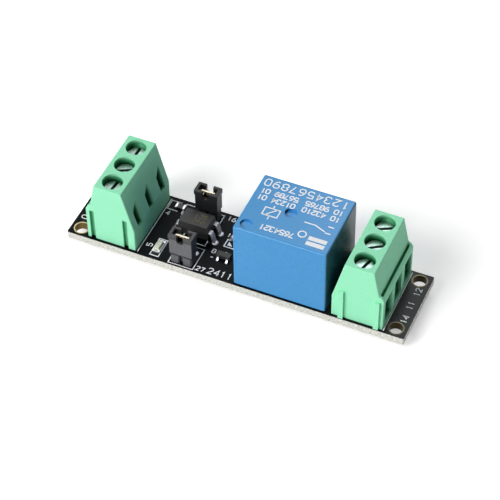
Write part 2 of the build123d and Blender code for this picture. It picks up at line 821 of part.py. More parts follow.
lead_places = [
    (edge * opto_row_spacing / 2, row * opto_lead_pitch / 2) for edge in (-1, 1) for row in (-1, 1)
]
with BuildPart() as optocoupler_legs:
    for leg_x, leg_y in lead_places:
        edge = 1 if leg_x > 0 else -1
        mid_y = opto_y + leg_y
        outer = opto_row_spacing / 2 + opto_lead_thickness / 2
        knee = opto_length / 2 + opto_shoulder_reach
        over = opto_lead_height + opto_lead_thickness / 2
        under = over - opto_lead_thickness
        section = Plane(origin=(opto_plane_x, mid_y, board_top), x_dir=(edge, 0, 0), z_dir=(0, -edge, 0))
        with BuildSketch(section) as bend:
            with BuildLine():
                Polyline(
                    (opto_length / 2, over),
                    (knee, over),
                    (outer, opto_lead_height - opto_shoulder_drop),
                    (outer - opto_lead_thickness, opto_lead_height - opto_shoulder_drop),
                    (knee - opto_lead_thickness, under),
                    (opto_length / 2, under),
                    close=True,
                )
            make_face()
            fillet(bend.vertices().sort_by_distance((knee, over))[0], opto_bend_radius)
        extrude(amount=opto_shoulder_width / 2, both=True)
        with BuildSketch(above_board(opto_plane_x + leg_x, mid_y, opto_lead_height - opto_shoulder_drop)):
            Rectangle(opto_lead_thickness, opto_tip_width)
        extrude(amount=-(opto_lead_height - opto_shoulder_drop + board_thickness + tail_length))
finish(optocoupler_legs, "optocoupler_legs")


# Chip parts
def end_blocks(plane, length, width, height, end_length):
    """Metal end caps of a chip that lies along the plane's X."""
    with BuildPart() as ends:
        with BuildSketch(plane):
            with Locations((-(length - end_length) / 2, 0), ((length - end_length) / 2, 0)):
                Rectangle(end_length, width)
        extrude(amount=height)
    return ends


led_plane = Plane(origin=(zone_x + led_x, led_y, board_top), x_dir=(0, 1, 0))
led_ends = end_blocks(led_plane, led_length, led_width, led_base_height, led_end_length)
finish(led_ends, "led_ends")
with BuildPart() as led_base:
    with BuildSketch(led_plane):
        Rectangle(led_length - 2 * led_end_length, led_width)
    extrude(amount=led_base_height)
finish(led_base, "led_base")
with BuildPart() as led_lens:
    with BuildSketch(led_plane.offset(led_base_height)):
        Rectangle(led_lens_length, led_lens_width)
    extrude(amount=led_lens_height, taper=led_lens_taper)
    fillet(led_lens.faces().sort_by(Axis.Z)[-1].edges(), led_lens_height / 5)
finish(led_lens, "led_lens")

resistor_planes = [
    above_board(zone_x + far_resistor_x, far_resistor_y),
    above_board(zone_x + inner_resistor_x, inner_resistor_y[0]),
    above_board(zone_x + inner_resistor_x, inner_resistor_y[1]),
]
for number, plane in enumerate(resistor_planes):
    with BuildPart() as resistor_body:
        with BuildSketch(plane):
            Rectangle(resistor_length - 2 * resistor_end, resistor_width)
        extrude(amount=resistor_height)
    finish(resistor_body, f"resistor_{number + 1}_body")
with BuildPart() as resistor_ends:
    for plane in resistor_planes:
        with BuildSketch(plane):
            middle = (resistor_length - resistor_end) / 2
            with Locations((-middle, 0), (middle, 0)):
                Rectangle(resistor_end, resistor_width)
    extrude(amount=resistor_height)
finish(resistor_ends, "resistor_ends")


def moulded_chip(plane, length, width, height, stand):
    """Moulded body with sloping sides, split at its lead frame."""
    half = (height - stand) / 2
    with BuildPart() as body:
        with BuildSketch(plane.offset(stand + half)):
            Rectangle(length, width)
        extrude(amount=half, taper=chip_taper)
        with BuildSketch(plane.offset(stand + half)):
            Rectangle(length, width)
        extrude(amount=-half, taper=chip_taper)
    return body


def gull_lead(start, height):
    """Corners of a lead that leaves a body and steps down to the board."""
    foot = start + lead_reach
    knee = start + lead_reach * 0.4
    return [
        (start, height + lead_thickness / 2),
        (start, height - lead_thickness / 2),
        (knee - lead_thickness, height - lead_thickness / 2),
        (knee - lead_thickness, 0),
        (foot, 0),
        (foot, lead_thickness),
        (knee, lead_thickness),
        (knee, height + lead_thickness / 2),
    ]


def chip_leads(x, y, places, width, height):
    """Leads as (turn, distance from the middle to the body's face, offset along that face)."""
    with BuildPart() as leads:
        for turn, face, along in places:
            out = Vector(1, 0, 0).rotate(Axis.Z, turn)
            across = Vector(0, 1, 0).rotate(Axis.Z, turn)
            origin = Vector(x, y, board_top) + across * along
            section = Plane(origin=origin, x_dir=out, z_dir=across * -1)
            with BuildSketch(section):
                Polygon(*gull_lead(face, height), align=None)
            extrude(amount=width / 2, both=True)
    return leads


transistor_plane = above_board(zone_x + transistor_x, transistor_y)
transistor_body = moulded_chip(
    transistor_plane, transistor_length, transistor_width, transistor_height, transistor_stand
)
finish(transistor_body, "transistor_body")
transistor_legs = chip_leads(
    zone_x + transistor_x,
    transistor_y,
    (
        (90, transistor_width / 2, 0),
        (-90, transistor_width / 2, transistor_lead_pitch / 2),
        (-90, transistor_width / 2, -transistor_lead_pitch / 2),
    ),
    transistor_lead_width,
    (transistor_height + transistor_stand) / 2,
)
finish(transistor_legs, "transistor_legs")

# Glass diode that lies across the board on its two round metal ends
diode_axis = Plane(
    origin=(zone_x + diode_x, diode_y, board_top + diode_end_diameter / 2), x_dir=(1, 0, 0), z_dir=(0, 1, 0)
)
with BuildPart() as diode_body:
    with BuildSketch(diode_axis):
        Circle(diode_glass_diameter / 2)
    extrude(amount=diode_length / 2 - diode_end_length, both=True)
finish(diode_body, "diode_body")
with BuildPart() as diode_ends:
    with BuildSketch(diode_axis.offset(diode_length / 2 - diode_end_length)):
        Circle(diode_end_diameter / 2)
    extrude(amount=diode_end_length)
    with BuildSketch(diode_axis.offset(-diode_length / 2)):
        Circle(diode_end_diameter / 2)
    extrude(amount=diode_end_length)
    fillet(diode_ends.edges(), diode_end_length / 4)
finish(diode_ends, "diode_ends")

# Holes, solder and board. Each hole takes its place and size from the pin in it.
pin_holes = []
for side, x in ((1, input_x), (-1, output_x)):
    for along in way_positions:
        pin_holes.append((x + side * contact_leg_u, side * along, contact_thickness, pin_width))
for edge in (-1, 1):
    pin_x = strip_outer_x - relay_pin_width / 2
    pin_holes.append((pin_x, relay_y + edge * strip_y, relay_pin_width, strip_thickness))
    pin_holes.append((coil_pin_x, relay_y + edge * coil_pin_y, coil_pin_size, coil_pin_size))
pin_holes.append((pivot_x - common_thickness / 2, relay_y, common_thickness, relay_pin_width))
for name, x, y, cap_gap in headers:
    for edge in (-1, 1):
        pin_holes.append((x + edge * header_pitch / 2, y, header_pin_size, header_pin_size))
for leg_x, leg_y in lead_places:
    pin_holes.append((opto_plane_x + leg_x, opto_y + leg_y, opto_lead_thickness, opto_tip_width))
spare_pads = [
    (zone_x + near_header_x - header_pitch / 2, near_header_y + header_pitch),
    (zone_x + near_header_x + header_pitch / 2, near_header_y + header_pitch),
    (zone_x + far_header_x - 1.5 * header_pitch, far_header_y),
]


def hole_radius(width, depth):
    """Radius of a round hole that a rectangular pin just passes."""
    return (width**2 + depth**2) ** 0.5 / 2 + hole_play


mount_x = board_length / 2 - mount_edge_x
mount_y = board_width / 2 - mount_edge_y
with BuildPart() as circuit_board:
    with BuildSketch(Plane.XY):
        RectangleRounded(board_length, board_width, board_corner)
        with GridLocations(2 * mount_x, 2 * mount_y, 2, 2):
            Circle(eyelet_radius, mode=Mode.SUBTRACT)
        for x, y, width, depth in pin_holes:
            with Locations((x, y)):
                Circle(hole_radius(width, depth), mode=Mode.SUBTRACT)
    extrude(amount=board_thickness)
finish(circuit_board, "circuit_board")

with BuildPart() as hole_eyelets:
    with BuildSketch(Plane.XY.offset(-eyelet_foil)):
        with GridLocations(2 * mount_x, 2 * mount_y, 2, 2):
            Circle(eyelet_radius + eyelet_ring)
    extrude(amount=eyelet_foil)
    with BuildSketch(Plane.XY.offset(board_thickness)):
        with GridLocations(2 * mount_x, 2 * mount_y, 2, 2):
            Circle(eyelet_radius + eyelet_ring)
    extrude(amount=eyelet_foil)
    with BuildSketch(Plane.XY):
        with GridLocations(2 * mount_x, 2 * mount_y, 2, 2):
            Circle(eyelet_radius)
    extrude(amount=board_thickness)
    with BuildSketch(Plane.XY.offset(-eyelet_foil)):
        with GridLocations(2 * mount_x, 2 * mount_y, 2, 2):
            Circle(mount_bore / 2)
    extrude(amount=board_thickness + 2 * eyelet_foil, mode=Mode.SUBTRACT)
finish(hole_eyelets, "hole_eyelets")

with BuildPart() as solder_joints:
    for x, y, width, depth in pin_holes:
        with Locations((x, y, 0)):
            Cone(
                solder_neck + hole_radius(width, depth) - hole_play,
                solder_radius + hole_radius(width, depth) / 2,
                solder_height,
                align=(Align.CENTER, Align.CENTER, Align.MAX),
            )
    for leg_x, leg_y in lead_places:
        with Locations((opto_plane_x + leg_x, opto_y + leg_y, board_thickness)):
            Cone(
                leg_mound_radius,
                leg_mound_top,
                leg_mound_height,
                align=(Align.CENTER, Align.CENTER, Align.MIN),
            )
    for pin in soldered:
        add(pin.part, mode=Mode.SUBTRACT)
    add(optocoupler_legs.part, mode=Mode.SUBTRACT)
    for x, y in spare_pads:
        with Locations((x, y, 0)):
            Cone(
                spare_dome_top,
                spare_pad_radius,
                spare_dome_height,
                align=(Align.CENTER, Align.CENTER, Align.MAX),
            )
        with Locations((x, y, board_thickness)):
            Cone(
                spare_pad_radius,
                spare_dome_top,
                spare_dome_height,
                align=(Align.CENTER, Align.CENTER, Align.MIN),
            )
finish(solder_joints, "solder_joints")
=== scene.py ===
# %% [markdown]
# # A relay module board, dressed for its picture
#
# The solid model comes packed as a frame of named pieces. This lesson gives every piece the finish
# of the real one, adds the white print, and sets the light and the camera. The frame is loaded
# first, because each later step asks it where a piece is.

from math import cos, pi, radians, sin

import bmesh
import bpy
from mathutils import Matrix, Vector


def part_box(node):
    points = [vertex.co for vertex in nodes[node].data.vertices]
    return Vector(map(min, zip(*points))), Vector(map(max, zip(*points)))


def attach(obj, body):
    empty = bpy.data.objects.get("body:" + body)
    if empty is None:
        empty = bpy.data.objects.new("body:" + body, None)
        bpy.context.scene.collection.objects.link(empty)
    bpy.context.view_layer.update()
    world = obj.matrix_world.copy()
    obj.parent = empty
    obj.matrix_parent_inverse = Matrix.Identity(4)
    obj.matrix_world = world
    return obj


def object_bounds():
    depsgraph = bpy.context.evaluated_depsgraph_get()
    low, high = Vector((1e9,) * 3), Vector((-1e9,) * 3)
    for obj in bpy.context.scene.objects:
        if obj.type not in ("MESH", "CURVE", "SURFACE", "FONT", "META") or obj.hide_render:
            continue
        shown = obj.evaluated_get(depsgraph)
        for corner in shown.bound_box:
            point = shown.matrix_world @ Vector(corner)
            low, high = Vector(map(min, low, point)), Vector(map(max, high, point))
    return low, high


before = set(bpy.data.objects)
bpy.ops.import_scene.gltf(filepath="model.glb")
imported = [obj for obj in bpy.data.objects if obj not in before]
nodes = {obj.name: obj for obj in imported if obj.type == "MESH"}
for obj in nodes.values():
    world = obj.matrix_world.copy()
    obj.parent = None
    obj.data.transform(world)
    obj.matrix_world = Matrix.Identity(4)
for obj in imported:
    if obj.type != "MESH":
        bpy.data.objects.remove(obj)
cad_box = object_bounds()
print("nodes in the frame:", len(nodes))

# %% [markdown]
# ## Places read from the pieces
#
# The model is in metres, but a board is thought of in millimetres. One factor turns the one into
# the other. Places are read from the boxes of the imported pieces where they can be, so that the
# finishes and the print follow the pieces.

# %% Boxes in millimetres
MM = 0.001


def low_high(node):
    """Lowest and highest corner of a piece, in millimetres."""
    low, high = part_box(node)
    return Vector(low) / MM, Vector(high) / MM


def middle_of(node):
    """Middle of a piece's box, in millimetres."""
    low, high = low_high(node)
    return (low + high) / 2


board_low, board_high = low_high("circuit_board")
board_top = board_high.z
blocks = ("input", "output")
ways = (1, 2, 3)
print("board", tuple(round(v, 2) for v in board_high - board_low), "mm")

# %% [markdown]
# ## Camera
#
# The photo looks down at 47 degrees from the near right of the board. A camera fitted to the
# corners of the board, the relay and the terminal blocks gives the angles, the distance and the
# lens. Writing the camera as three directions keeps it free of rounding by Euler angles.

# %% Camera at the photo's view
turn, tilt, roll = radians(24.47), radians(47.07), radians(-0.97)
distance, shift_right, shift_up = 352.125, 0.318, 0.781
focal_pixels, picture_pixels, sensor_mm = 1827.64, 500, 36.0
nearest_mm = 10

back = Vector((sin(turn) * cos(tilt), -cos(turn) * cos(tilt), sin(tilt)))
level = Vector((cos(turn), sin(turn), 0.0))
upright = back.cross(level)
right = level * cos(roll) + upright * sin(roll)
up = upright * cos(roll) - level * sin(roll)

camera_data = bpy.data.cameras.new("camera")
camera_data.sensor_width = sensor_mm
camera_data.lens = focal_pixels / picture_pixels * sensor_mm
camera_data.clip_start = nearest_mm * MM
camera = bpy.data.objects.new("camera", camera_data)
bpy.context.scene.collection.objects.link(camera)
place = (back * distance + right * shift_right + up * shift_up + Vector((0, 0, board_top))) * MM
rotation = Matrix((right, up, back)).transposed().to_4x4()
camera.matrix_world = Matrix.Translation(place) @ rotation
bpy.context.scene.camera = camera
print("lens", round(camera_data.lens, 1), "mm")

# %% [markdown]
# ## Colours and shader nodes
#
# The standard view shows each colour as it is written. Colours are written as on a paint card, in
# sRGB, and one function turns them into the linear light that Blender reckons with. Another adds
# a shader node with its settings and links, so that a finish reads as a short list of nodes.

# %% Helpers for colours and nodes
bpy.context.scene.view_settings.view_transform = "Standard"


def srgb(code, alpha=1.0):
    """Turn an sRGB hex colour such as 1A2B3C into linear red, green, blue and alpha."""
    linear = []
    for start in (0, 2, 4):
        value = int(code[start:start + 2], 16) / 255
        linear.append(value / 12.92 if value <= 0.04045 else ((value + 0.055) / 1.055) ** 2.4)
    return (*linear, alpha)


def add_node(tree, kind, values=None, links=None, stops=(), **settings):
    """Add a node, set its properties, sockets and colour stops, and link other outputs into it."""
    node = tree.nodes.new(kind)
    for key, value in settings.items():
        setattr(node, key, value)
    for socket, value in (values or {}).items():
        node.inputs[socket].default_value = value
    for socket, source in (links or {}).items():
        tree.links.new(source, node.inputs[socket])
    if stops:
        ramp = node.color_ramp.elements
        ramp.remove(ramp[1])
        ramp[0].position = stops[0][0]
        ramp[0].color = srgb(stops[0][1])
        for position, code in stops[1:]:
            ramp.new(position).color = srgb(code)
    return node


print("white is", srgb("FFFFFF"))

# %% [markdown]
# ## World
#
# The room around the table sends a little light into the shadows. A dim, faintly blue world does
# the same. Seen directly, in a reflection or through glass the world is plain white, which it
# could not be as light on the board without washing the shadows out.

# %% World
world = bpy.data.worlds.new("studio")
bpy.context.scene.world = world
world.use_nodes = True
tree = world.node_tree
tree.nodes.clear()
path = add_node(tree, "ShaderNodeLightPath")
through = add_node(
    tree, "ShaderNodeMath",
    links={0: path.outputs["Is Glossy Ray"], 1: path.outputs["Is Transmission Ray"]},
    operation="MAXIMUM",
)
seen = add_node(
    tree, "ShaderNodeMath", links={0: path.outputs["Is Camera Ray"], 1: through.outputs[0]},
    operation="MAXIMUM",
)
fill = add_node(tree, "ShaderNodeBackground", {"Color": (0.93, 0.96, 1.0, 1.0), "Strength": 0.03})
white = add_node(tree, "ShaderNodeBackground", {"Color": (1.0, 1.0, 1.0, 1.0), "Strength": 1.0})
mix = add_node(
    tree, "ShaderNodeMixShader",
    links={0: seen.outputs[0], 1: fill.outputs[0], 2: white.outputs[0]},
)
add_node(tree, "ShaderNodeOutputWorld", links={"Surface": mix.outputs[0]})
print("world fill", fill.inputs["Strength"].default_value)

# %% [markdown]
# ## White table
#
# The photo's ground is a white sheet. A flat square under the solder pins takes the soft shadow.
# It glows a little where the camera or a shiny piece looks at it, which makes it as white as in
# the photo and sheds no more light on the board.

# %% Table under the solder pins
floor_z = cad_box[0][2]
half_metres = 3.0
table_glow = 0.45
corners = [(x * half_metres, y * half_metres, floor_z) for x, y in ((-1, -1), (1, -1), (1, 1), (-1, 1))]
mesh = bpy.data.meshes.new("floor")
mesh.from_pydata(corners, [], [(0, 1, 2, 3)])
floor = bpy.data.objects.new("floor", mesh)
bpy.context.scene.collection.objects.link(floor)
# Uncoated paper: flat white, with almost no gloss.
paper = bpy.data.materials.new("white table")
paper.use_nodes = True
tree = paper.node_tree
shader = tree.nodes["Principled BSDF"]
shader.inputs["Base Color"].default_value = srgb("F4F4F3")
shader.inputs["Roughness"].default_value = 0.9
shader.inputs["Specular IOR Level"].default_value = 0.1
path = add_node(tree, "ShaderNodeLightPath")
direct = add_node(
    tree, "ShaderNodeMath", links={0: path.outputs["Is Camera Ray"], 1: path.outputs["Is Glossy Ray"]},
    operation="MAXIMUM",
)
glow = add_node(tree, "ShaderNodeMath", {1: table_glow}, {0: direct.outputs[0]}, operation="MULTIPLY")
shader.inputs["Emission Color"].default_value = srgb("FFFFFF")
tree.links.new(glow.outputs[0], shader.inputs["Emission Strength"])
mesh.materials.append(paper)
print("floor at", round(floor_z / MM, 2), "mm")

# %% [markdown]
# ## Lamps
#
# The photo has one broad light from the near left, whose shadows fall to the right and back. A
# large square lamp gives that. A weaker one from behind and above lights the tops and the far
# edges, and a faint low one at the right end lifts the ends of the board and of the right block.


# %% Lamps
def area_lamp(name, direction, metres, size, watts, colour):
    """Square lamp in a direction from the board's middle, facing it."""
    data = bpy.data.lights.new(name, "AREA")
    data.size = size
    data.energy = watts
    data.color = colour
    lamp = bpy.data.objects.new(name, data)
    toward = Vector(direction).normalized()
    facing_board = toward.to_track_quat("Z", "Y").to_matrix().to_4x4()
    lamp.matrix_world = Matrix.Translation(toward * metres) @ facing_board
    bpy.context.scene.collection.objects.link(lamp)
    return lamp


lamps = [
    area_lamp("key", (-0.47, -0.7, 0.66), metres=1.6, size=0.9, watts=27.5, colour=(1.0, 0.985, 0.965)),
    area_lamp("back", (-0.03, 0.6, 0.8), metres=1.3, size=0.5, watts=4.6, colour=(0.95, 0.98, 1.0)),
    area_lamp("side", (1.0, 0.0, 0.1), metres=1.3, size=0.25, watts=1.4, colour=(1.0, 1.0, 1.0)),
]
print("lamps", [lamp.name for lamp in lamps])

# %% [markdown]
# ## Finishes
#
# Every finish starts from its real material. The pattern helpers work in millimetres: a noise whose
# blotches are half a millimetre wide needs a scale of two thousand to the metre. All pieces sit at
# the origin, so object coordinates are the board's own and need no unwrapping.

# %% Start of a finish
def new_finish(name, hex_colour, roughness, **sockets):
    """Material with its plain sockets set; returns the material, its tree and its shader."""
    material = bpy.data.materials.new(name)
    material.use_nodes = True
    tree = material.node_tree
    shader = tree.nodes["Principled BSDF"]
    shader.inputs["Base Color"].default_value = srgb(hex_colour)
    shader.inputs["Roughness"].default_value = roughness
    for socket, value in sockets.items():
        shader.inputs[socket.replace("_", " ")].default_value = value
    return material, tree, shader


def dress(material, *names):
    """Give CAD pieces their finish."""
    for name in names:
        piece = nodes[name]
        if not piece.data.materials:
            piece.data.materials.append(material)
        for slot in piece.material_slots:
            slot.material = material


def across_mm(size):
    """Texture scale at which one blotch of a noise is this many millimetres across."""
    return 1 / (size * MM)


print("one blotch of 0.5 mm needs scale", across_mm(0.5))

# %% [markdown]
# ### Grain
#
# No moulded or plated skin is even. One noise that shifts the colour, the roughness and the height
# together looks like one cause, such as a cloudy skin, where three noises would look like dirt.
# A pixel of the picture is about 0.2 mm of the board, so finer grain is drawn near that size.


# %% Grain over a whole piece
def grain(tree, shader, size_mm, height_mm, colours, rough, stretch=(1, 1, 1)):
    """Noise in the board's own coordinates that shifts colour, roughness and height a little."""
    where = add_node(tree, "ShaderNodeTexCoord")
    scaled = add_node(tree, "ShaderNodeMapping", {"Scale": stretch}, {"Vector": where.outputs["Object"]})
    noise = add_node(
        tree, "ShaderNodeTexNoise", {"Scale": across_mm(size_mm), "Detail": 3.0},
        {"Vector": scaled.outputs[0]},
    )
    ramp = add_node(
        tree, "ShaderNodeValToRGB", links={"Fac": noise.outputs["Fac"]},
        stops=((0.35, colours[0]), (0.65, colours[1])),
    )
    tree.links.new(ramp.outputs[0], shader.inputs["Base Color"])
    spread = add_node(
        tree, "ShaderNodeMapRange", {"To Min": rough[0], "To Max": rough[1]},
        {"Value": noise.outputs["Fac"]},
    )
    tree.links.new(spread.outputs[0], shader.inputs["Roughness"])
    if height_mm:
        bump = add_node(
            tree, "ShaderNodeBump", {"Strength": 1.0, "Distance": height_mm * MM},
            {"Height": noise.outputs["Fac"]},
        )
        tree.links.new(bump.outputs[0], shader.inputs["Normal"])


print("grain can be as fine as 0.1 mm, scale", across_mm(0.1))

# %% [markdown]
# ### Film, shade and rings
#
# Some pieces are darker in one place: the wall of a hole has a film, while the foot of a slot and
# the side that light doesn't reach get painted shade. Each is told by where a point lies or which
# way its face looks, and the colour there is multiplied. A thread and a winding are rings at one
# pitch, which a wave texture draws.


# %% Film, shade and rings
def along(tree, source, axis):
    """Where a point lies (Object) or which way its face looks (Normal), along one axis."""
    where = add_node(tree, "ShaderNodeTexCoord")
    parts = add_node(tree, "ShaderNodeSeparateXYZ", links={0: where.outputs[source]})
    return parts.outputs[axis]


def multiply_colour(tree, shader, share, hex_colour):
    """Multiply the shader's colour by another where share is one, and leave it where share is none."""
    before = shader.inputs["Base Color"].links[0].from_socket
    product = add_node(
        tree, "ShaderNodeMix", {7: srgb(hex_colour)}, {0: share, 6: before},
        data_type="RGBA", blend_type="MULTIPLY",
    )
    tree.links.new(product.outputs[2], shader.inputs["Base Color"])


def rings(tree, shader, pitch_mm, height_mm, share=None, distortion=0.0):
    """Rings around the upright, one to each pitch, over the height that is there already."""
    where = add_node(tree, "ShaderNodeTexCoord")
    # A wave texture of scale one repeats every tenth of pi.
    wave = add_node(
        tree, "ShaderNodeTexWave", {"Scale": pi / 10 / (pitch_mm * MM), "Distortion": distortion},
        {"Vector": where.outputs["Object"]}, bands_direction="Z",
    )
    bump = add_node(tree, "ShaderNodeBump", {"Distance": height_mm * MM}, {"Height": wave.outputs["Fac"]})
    before = shader.inputs["Normal"]
    if before.is_linked:
        tree.links.new(before.links[0].from_socket, bump.inputs["Normal"])
    if share:
        tree.links.new(share, bump.inputs["Strength"])
    tree.links.new(bump.outputs[0], before)


print("a thread of 0.5 mm pitch needs scale", round(pi / 10 / (0.5 * MM)))

# %% [markdown]
# ## Board
#
# Glass-fibre laminate with a black solder mask, sawn from a larger panel. The mask is a thin satin
# lacquer over both faces, and the sawn edge shows pale resin and the ends of the glass cloth.
# Two materials would need the faces picked one by one. One material is simpler: the way a face
# looks tells mask from edge.

# %% Colours of the lacquer and of the sawn edge
# Lacquer gives the eye a soft black with faint clouds, and the edge a pale fleck.
mask, tree, shader = new_finish("lacquered glass-fibre laminate", "0C1113", 0.4, IOR=1.45)
flatness = add_node(tree, "ShaderNodeMath", links={0: along(tree, "Normal", "Z")}, operation="ABSOLUTE")
is_edge = add_node(tree, "ShaderNodeMath", {1: 0.5}, {0: flatness.outputs[0]}, operation="LESS_THAN")
# Glass bundles run along the edge in flat layers.
bundle_mm, layer_mm, cloud_mm = 0.6, 0.2, 6.0
where = add_node(tree, "ShaderNodeTexCoord")
layered = add_node(
    tree, "ShaderNodeMapping", {"Scale": (1, 1, bundle_mm / layer_mm)},
    {"Vector": where.outputs["Object"]},
)
cloth = add_node(
    tree, "ShaderNodeTexNoise", {"Scale": across_mm(bundle_mm), "Detail": 4.0},
    {"Vector": layered.outputs[0]},
)
edge_colour = add_node(
    tree, "ShaderNodeValToRGB", links={"Fac": cloth.outputs["Fac"]},
    stops=((0.3, "AEAEA4"), (0.62, "ECECE8")),
)
clouds = add_node(
    tree, "ShaderNodeTexNoise", {"Scale": across_mm(cloud_mm), "Detail": 2.0},
    {"Vector": where.outputs["Object"]},
)
face_colour = add_node(
    tree, "ShaderNodeValToRGB", links={"Fac": clouds.outputs["Fac"]},
    stops=((0.0, "06090B"), (1.0, "0B1013")),
)
both = add_node(
    tree, "ShaderNodeMix",
    links={0: is_edge.outputs[0], 6: face_colour.outputs[0], 7: edge_colour.outputs[0]},
    data_type="RGBA",
)
tree.links.new(both.outputs[2], shader.inputs["Base Color"])
print("edge layers of", layer_mm, "mm")

# %% Gloss of the lacquer, roughness and weave of the edge
# Handling has polished the lacquer toward the board's right end.
polish_from, polish_to = 15, 32
polish = add_node(
    tree, "ShaderNodeMapRange",
    {"From Min": polish_from * MM, "From Max": polish_to * MM, "To Min": 0.07, "To Max": 0.2},
    {"Value": along(tree, "Object", "X")},
)
tree.links.new(polish.outputs[0], shader.inputs["Specular IOR Level"])
rough = add_node(
    tree, "ShaderNodeMapRange", {"To Min": 0.38, "To Max": 0.85}, {"Value": is_edge.outputs[0]}
)
tree.links.new(rough.outputs[0], shader.inputs["Roughness"])
weave = add_node(
    tree, "ShaderNodeMath", links={0: cloth.outputs["Fac"], 1: is_edge.outputs[0]},
    operation="MULTIPLY",
)
bump = add_node(
    tree, "ShaderNodeBump", {"Strength": 0.8, "Distance": 0.06 * MM}, {"Height": weave.outputs[0]}
)
tree.links.new(bump.outputs[0], shader.inputs["Normal"])
dress(mask, "circuit_board")
print("board finish:", mask.name)

# %% [markdown]
# ## Gold
#
# The eyelets, the header pins and the clips in the jumper caps have a thin gold flash over nickel.
# A metal's colour is the colour of its reflection, so these are metallic with a pale, greyish gold.
# The film, and the painted shade on the eyelets at the relay end, are placed by where a face lies
# and looks, which needs no image.

# %% Eyelets
# Plated and handled: a broken, brownish gleam.
gilt, tree, shader = new_finish("thin gold plating", "B3A780", 0.36, Metallic=1.0)
grain(tree, shader, size_mm=0.8, height_mm=0.004, colours=("A59970", "C6BC98"), rough=(0.28, 0.48))
# The rim is rubbed bright and the wall of the hole keeps a brown film.
flatness = add_node(tree, "ShaderNodeMath", links={0: along(tree, "Normal", "Z")}, operation="ABSOLUTE")
film = add_node(tree, "ShaderNodeMath", {0: 1.0}, {1: flatness.outputs[0]}, operation="SUBTRACT")
multiply_colour(tree, shader, film.outputs[0], "A09070")
# The two eyelets at the relay end are darker than the pair at the signal end: painted shade for
# the shadow that falls on that end.
relay_end_shade = add_node(
    tree, "ShaderNodeMath", {1: 0.0}, {0: along(tree, "Object", "X")}, operation="GREATER_THAN"
)
multiply_colour(tree, shader, relay_end_shade.outputs[0], "737476")
dress(gilt, "hole_eyelets")
print("eyelets dressed")

# %% Header pins and jumper clips
# Drawn wire, plated: a smooth warm gleam.
gilt_wire, tree, shader = new_finish("gold-plated drawn wire", "D2C294", 0.25, Metallic=1.0)
grain(tree, shader, size_mm=0.5, height_mm=0.002, colours=("C4B484", "E0D3AE"), rough=(0.18, 0.32))
# Pressed strip with the thinnest flash: paler, and duller than the wire.
gilt_strip, tree, shader = new_finish("gold-flashed pressed strip", "CFC6AC", 0.35, Metallic=1.0)
grain(tree, shader, size_mm=0.4, height_mm=0.004, colours=("BDB399", "DDD6C2"), rough=(0.28, 0.45))
# The plates below the bar lie in the cap's shade and carry painted shade; only the bar across the
# pins stays bright.
bar_foot = board_top + 6.3
plate_shade = add_node(
    tree, "ShaderNodeMath", {1: bar_foot * MM}, {0: along(tree, "Object", "Z")}, operation="LESS_THAN"
)
multiply_colour(tree, shader, plate_shade.outputs[0], "4A4234")
for side in ("near", "far"):
    dress(gilt_wire, f"{side}_header_pins")
    dress(gilt_strip, f"{side}_jumper_clip")
print("clip bar from", round(bar_foot, 2), "mm up")

# %% [markdown]
# ## Tin and solder
#
# Legs, terminal pins and the metal ends of the chips are tinned. Bright tin is plated and keeps
# sharp gleams, while tin from a hot dip sets dull and uneven. Solder melts into round shapes with
# soft gleams. Three greys with different roughness tell them apart.

# %% Tinned pieces and solder joints
# Plated bright: small clear gleams.
tin, tree, shader = new_finish("bright tin plating", "D5D6D8", 0.28, Metallic=1.0)
grain(tree, shader, size_mm=0.4, height_mm=0.004, colours=("B9BBC0", "E4E6EA"), rough=(0.2, 0.4))
# Dipped hot: grey, with a skin that runs unevenly.
dull_tin, tree, shader = new_finish("hot-dipped tin, dull", "A6A8AC", 0.5, Metallic=1.0)
grain(tree, shader, size_mm=0.35, height_mm=0.02, colours=("85878B", "C2C4C8"), rough=(0.5, 0.7))
# Melted and set: soft, rounded gleams.
solder, tree, shader = new_finish("reflowed solder", "BFC1C6", 0.4, Metallic=1.0)
grain(tree, shader, size_mm=0.5, height_mm=0.02, colours=("A8ABB0", "D2D4D8"), rough=(0.42, 0.6))
dress(tin, "transistor_legs", "diode_ends", "led_ends", "resistor_ends")
dress(tin, "relay_coil_pin_1", "relay_coil_pin_2", "relay_common_pin")
dress(tin, "relay_open_contact", "relay_closed_contact")
dress(tin, *[f"{block}_contact_{way}" for block in blocks for way in ways])
dress(dull_tin, "optocoupler_legs")
dress(solder, "solder_joints")
print("tinned pieces dressed")

# %% [markdown]
# ## Screws
#
# The terminal screws are turned steel with passivated zinc, which has a cool green cast. Below
# the top of the head, in the slot and down the well, painted shade darkens them. The thread is too
# fine to model six times over, so it is drawn as rings below the head, in the height that the
# shader feels.

# %% Zinc-plated screws
# Turned and plated: a cool satin metal.
zinc, tree, shader = new_finish("zinc-plated steel, turned", "A9BEB6", 0.3, Metallic=1.0)
grain(tree, shader, size_mm=0.3, height_mm=0.006, colours=("8EA39C", "B9CEC6"), rough=(0.28, 0.48))
head_top = low_high("input_screw_1")[1].z
head_height, thread_pitch = 1.6, 0.5
unshaded_depth, shaded_depth = 0.1, 0.6
up_screw = along(tree, "Object", "Z")
# Painted shade: darker from 0.1 mm below the head's top, fully dark from 0.6 mm down.
slot_shade = add_node(
    tree, "ShaderNodeMapRange",
    {"From Min": (head_top - shaded_depth) * MM, "From Max": (head_top - unshaded_depth) * MM,
     "To Min": 1.0, "To Max": 0.0},
    {"Value": up_screw},
)
multiply_colour(tree, shader, slot_shade.outputs[0], "5F7A70")
threaded = add_node(
    tree, "ShaderNodeMath", {1: (head_top - head_height) * MM}, {0: up_screw}, operation="LESS_THAN"
)
rings(tree, shader, pitch_mm=thread_pitch, height_mm=0.3, share=threaded.outputs[0])
dress(zinc, *[f"{block}_screw_{way}" for block in blocks for way in ways])
print("screw heads end", round(head_top - board_top, 2), "mm above the board")

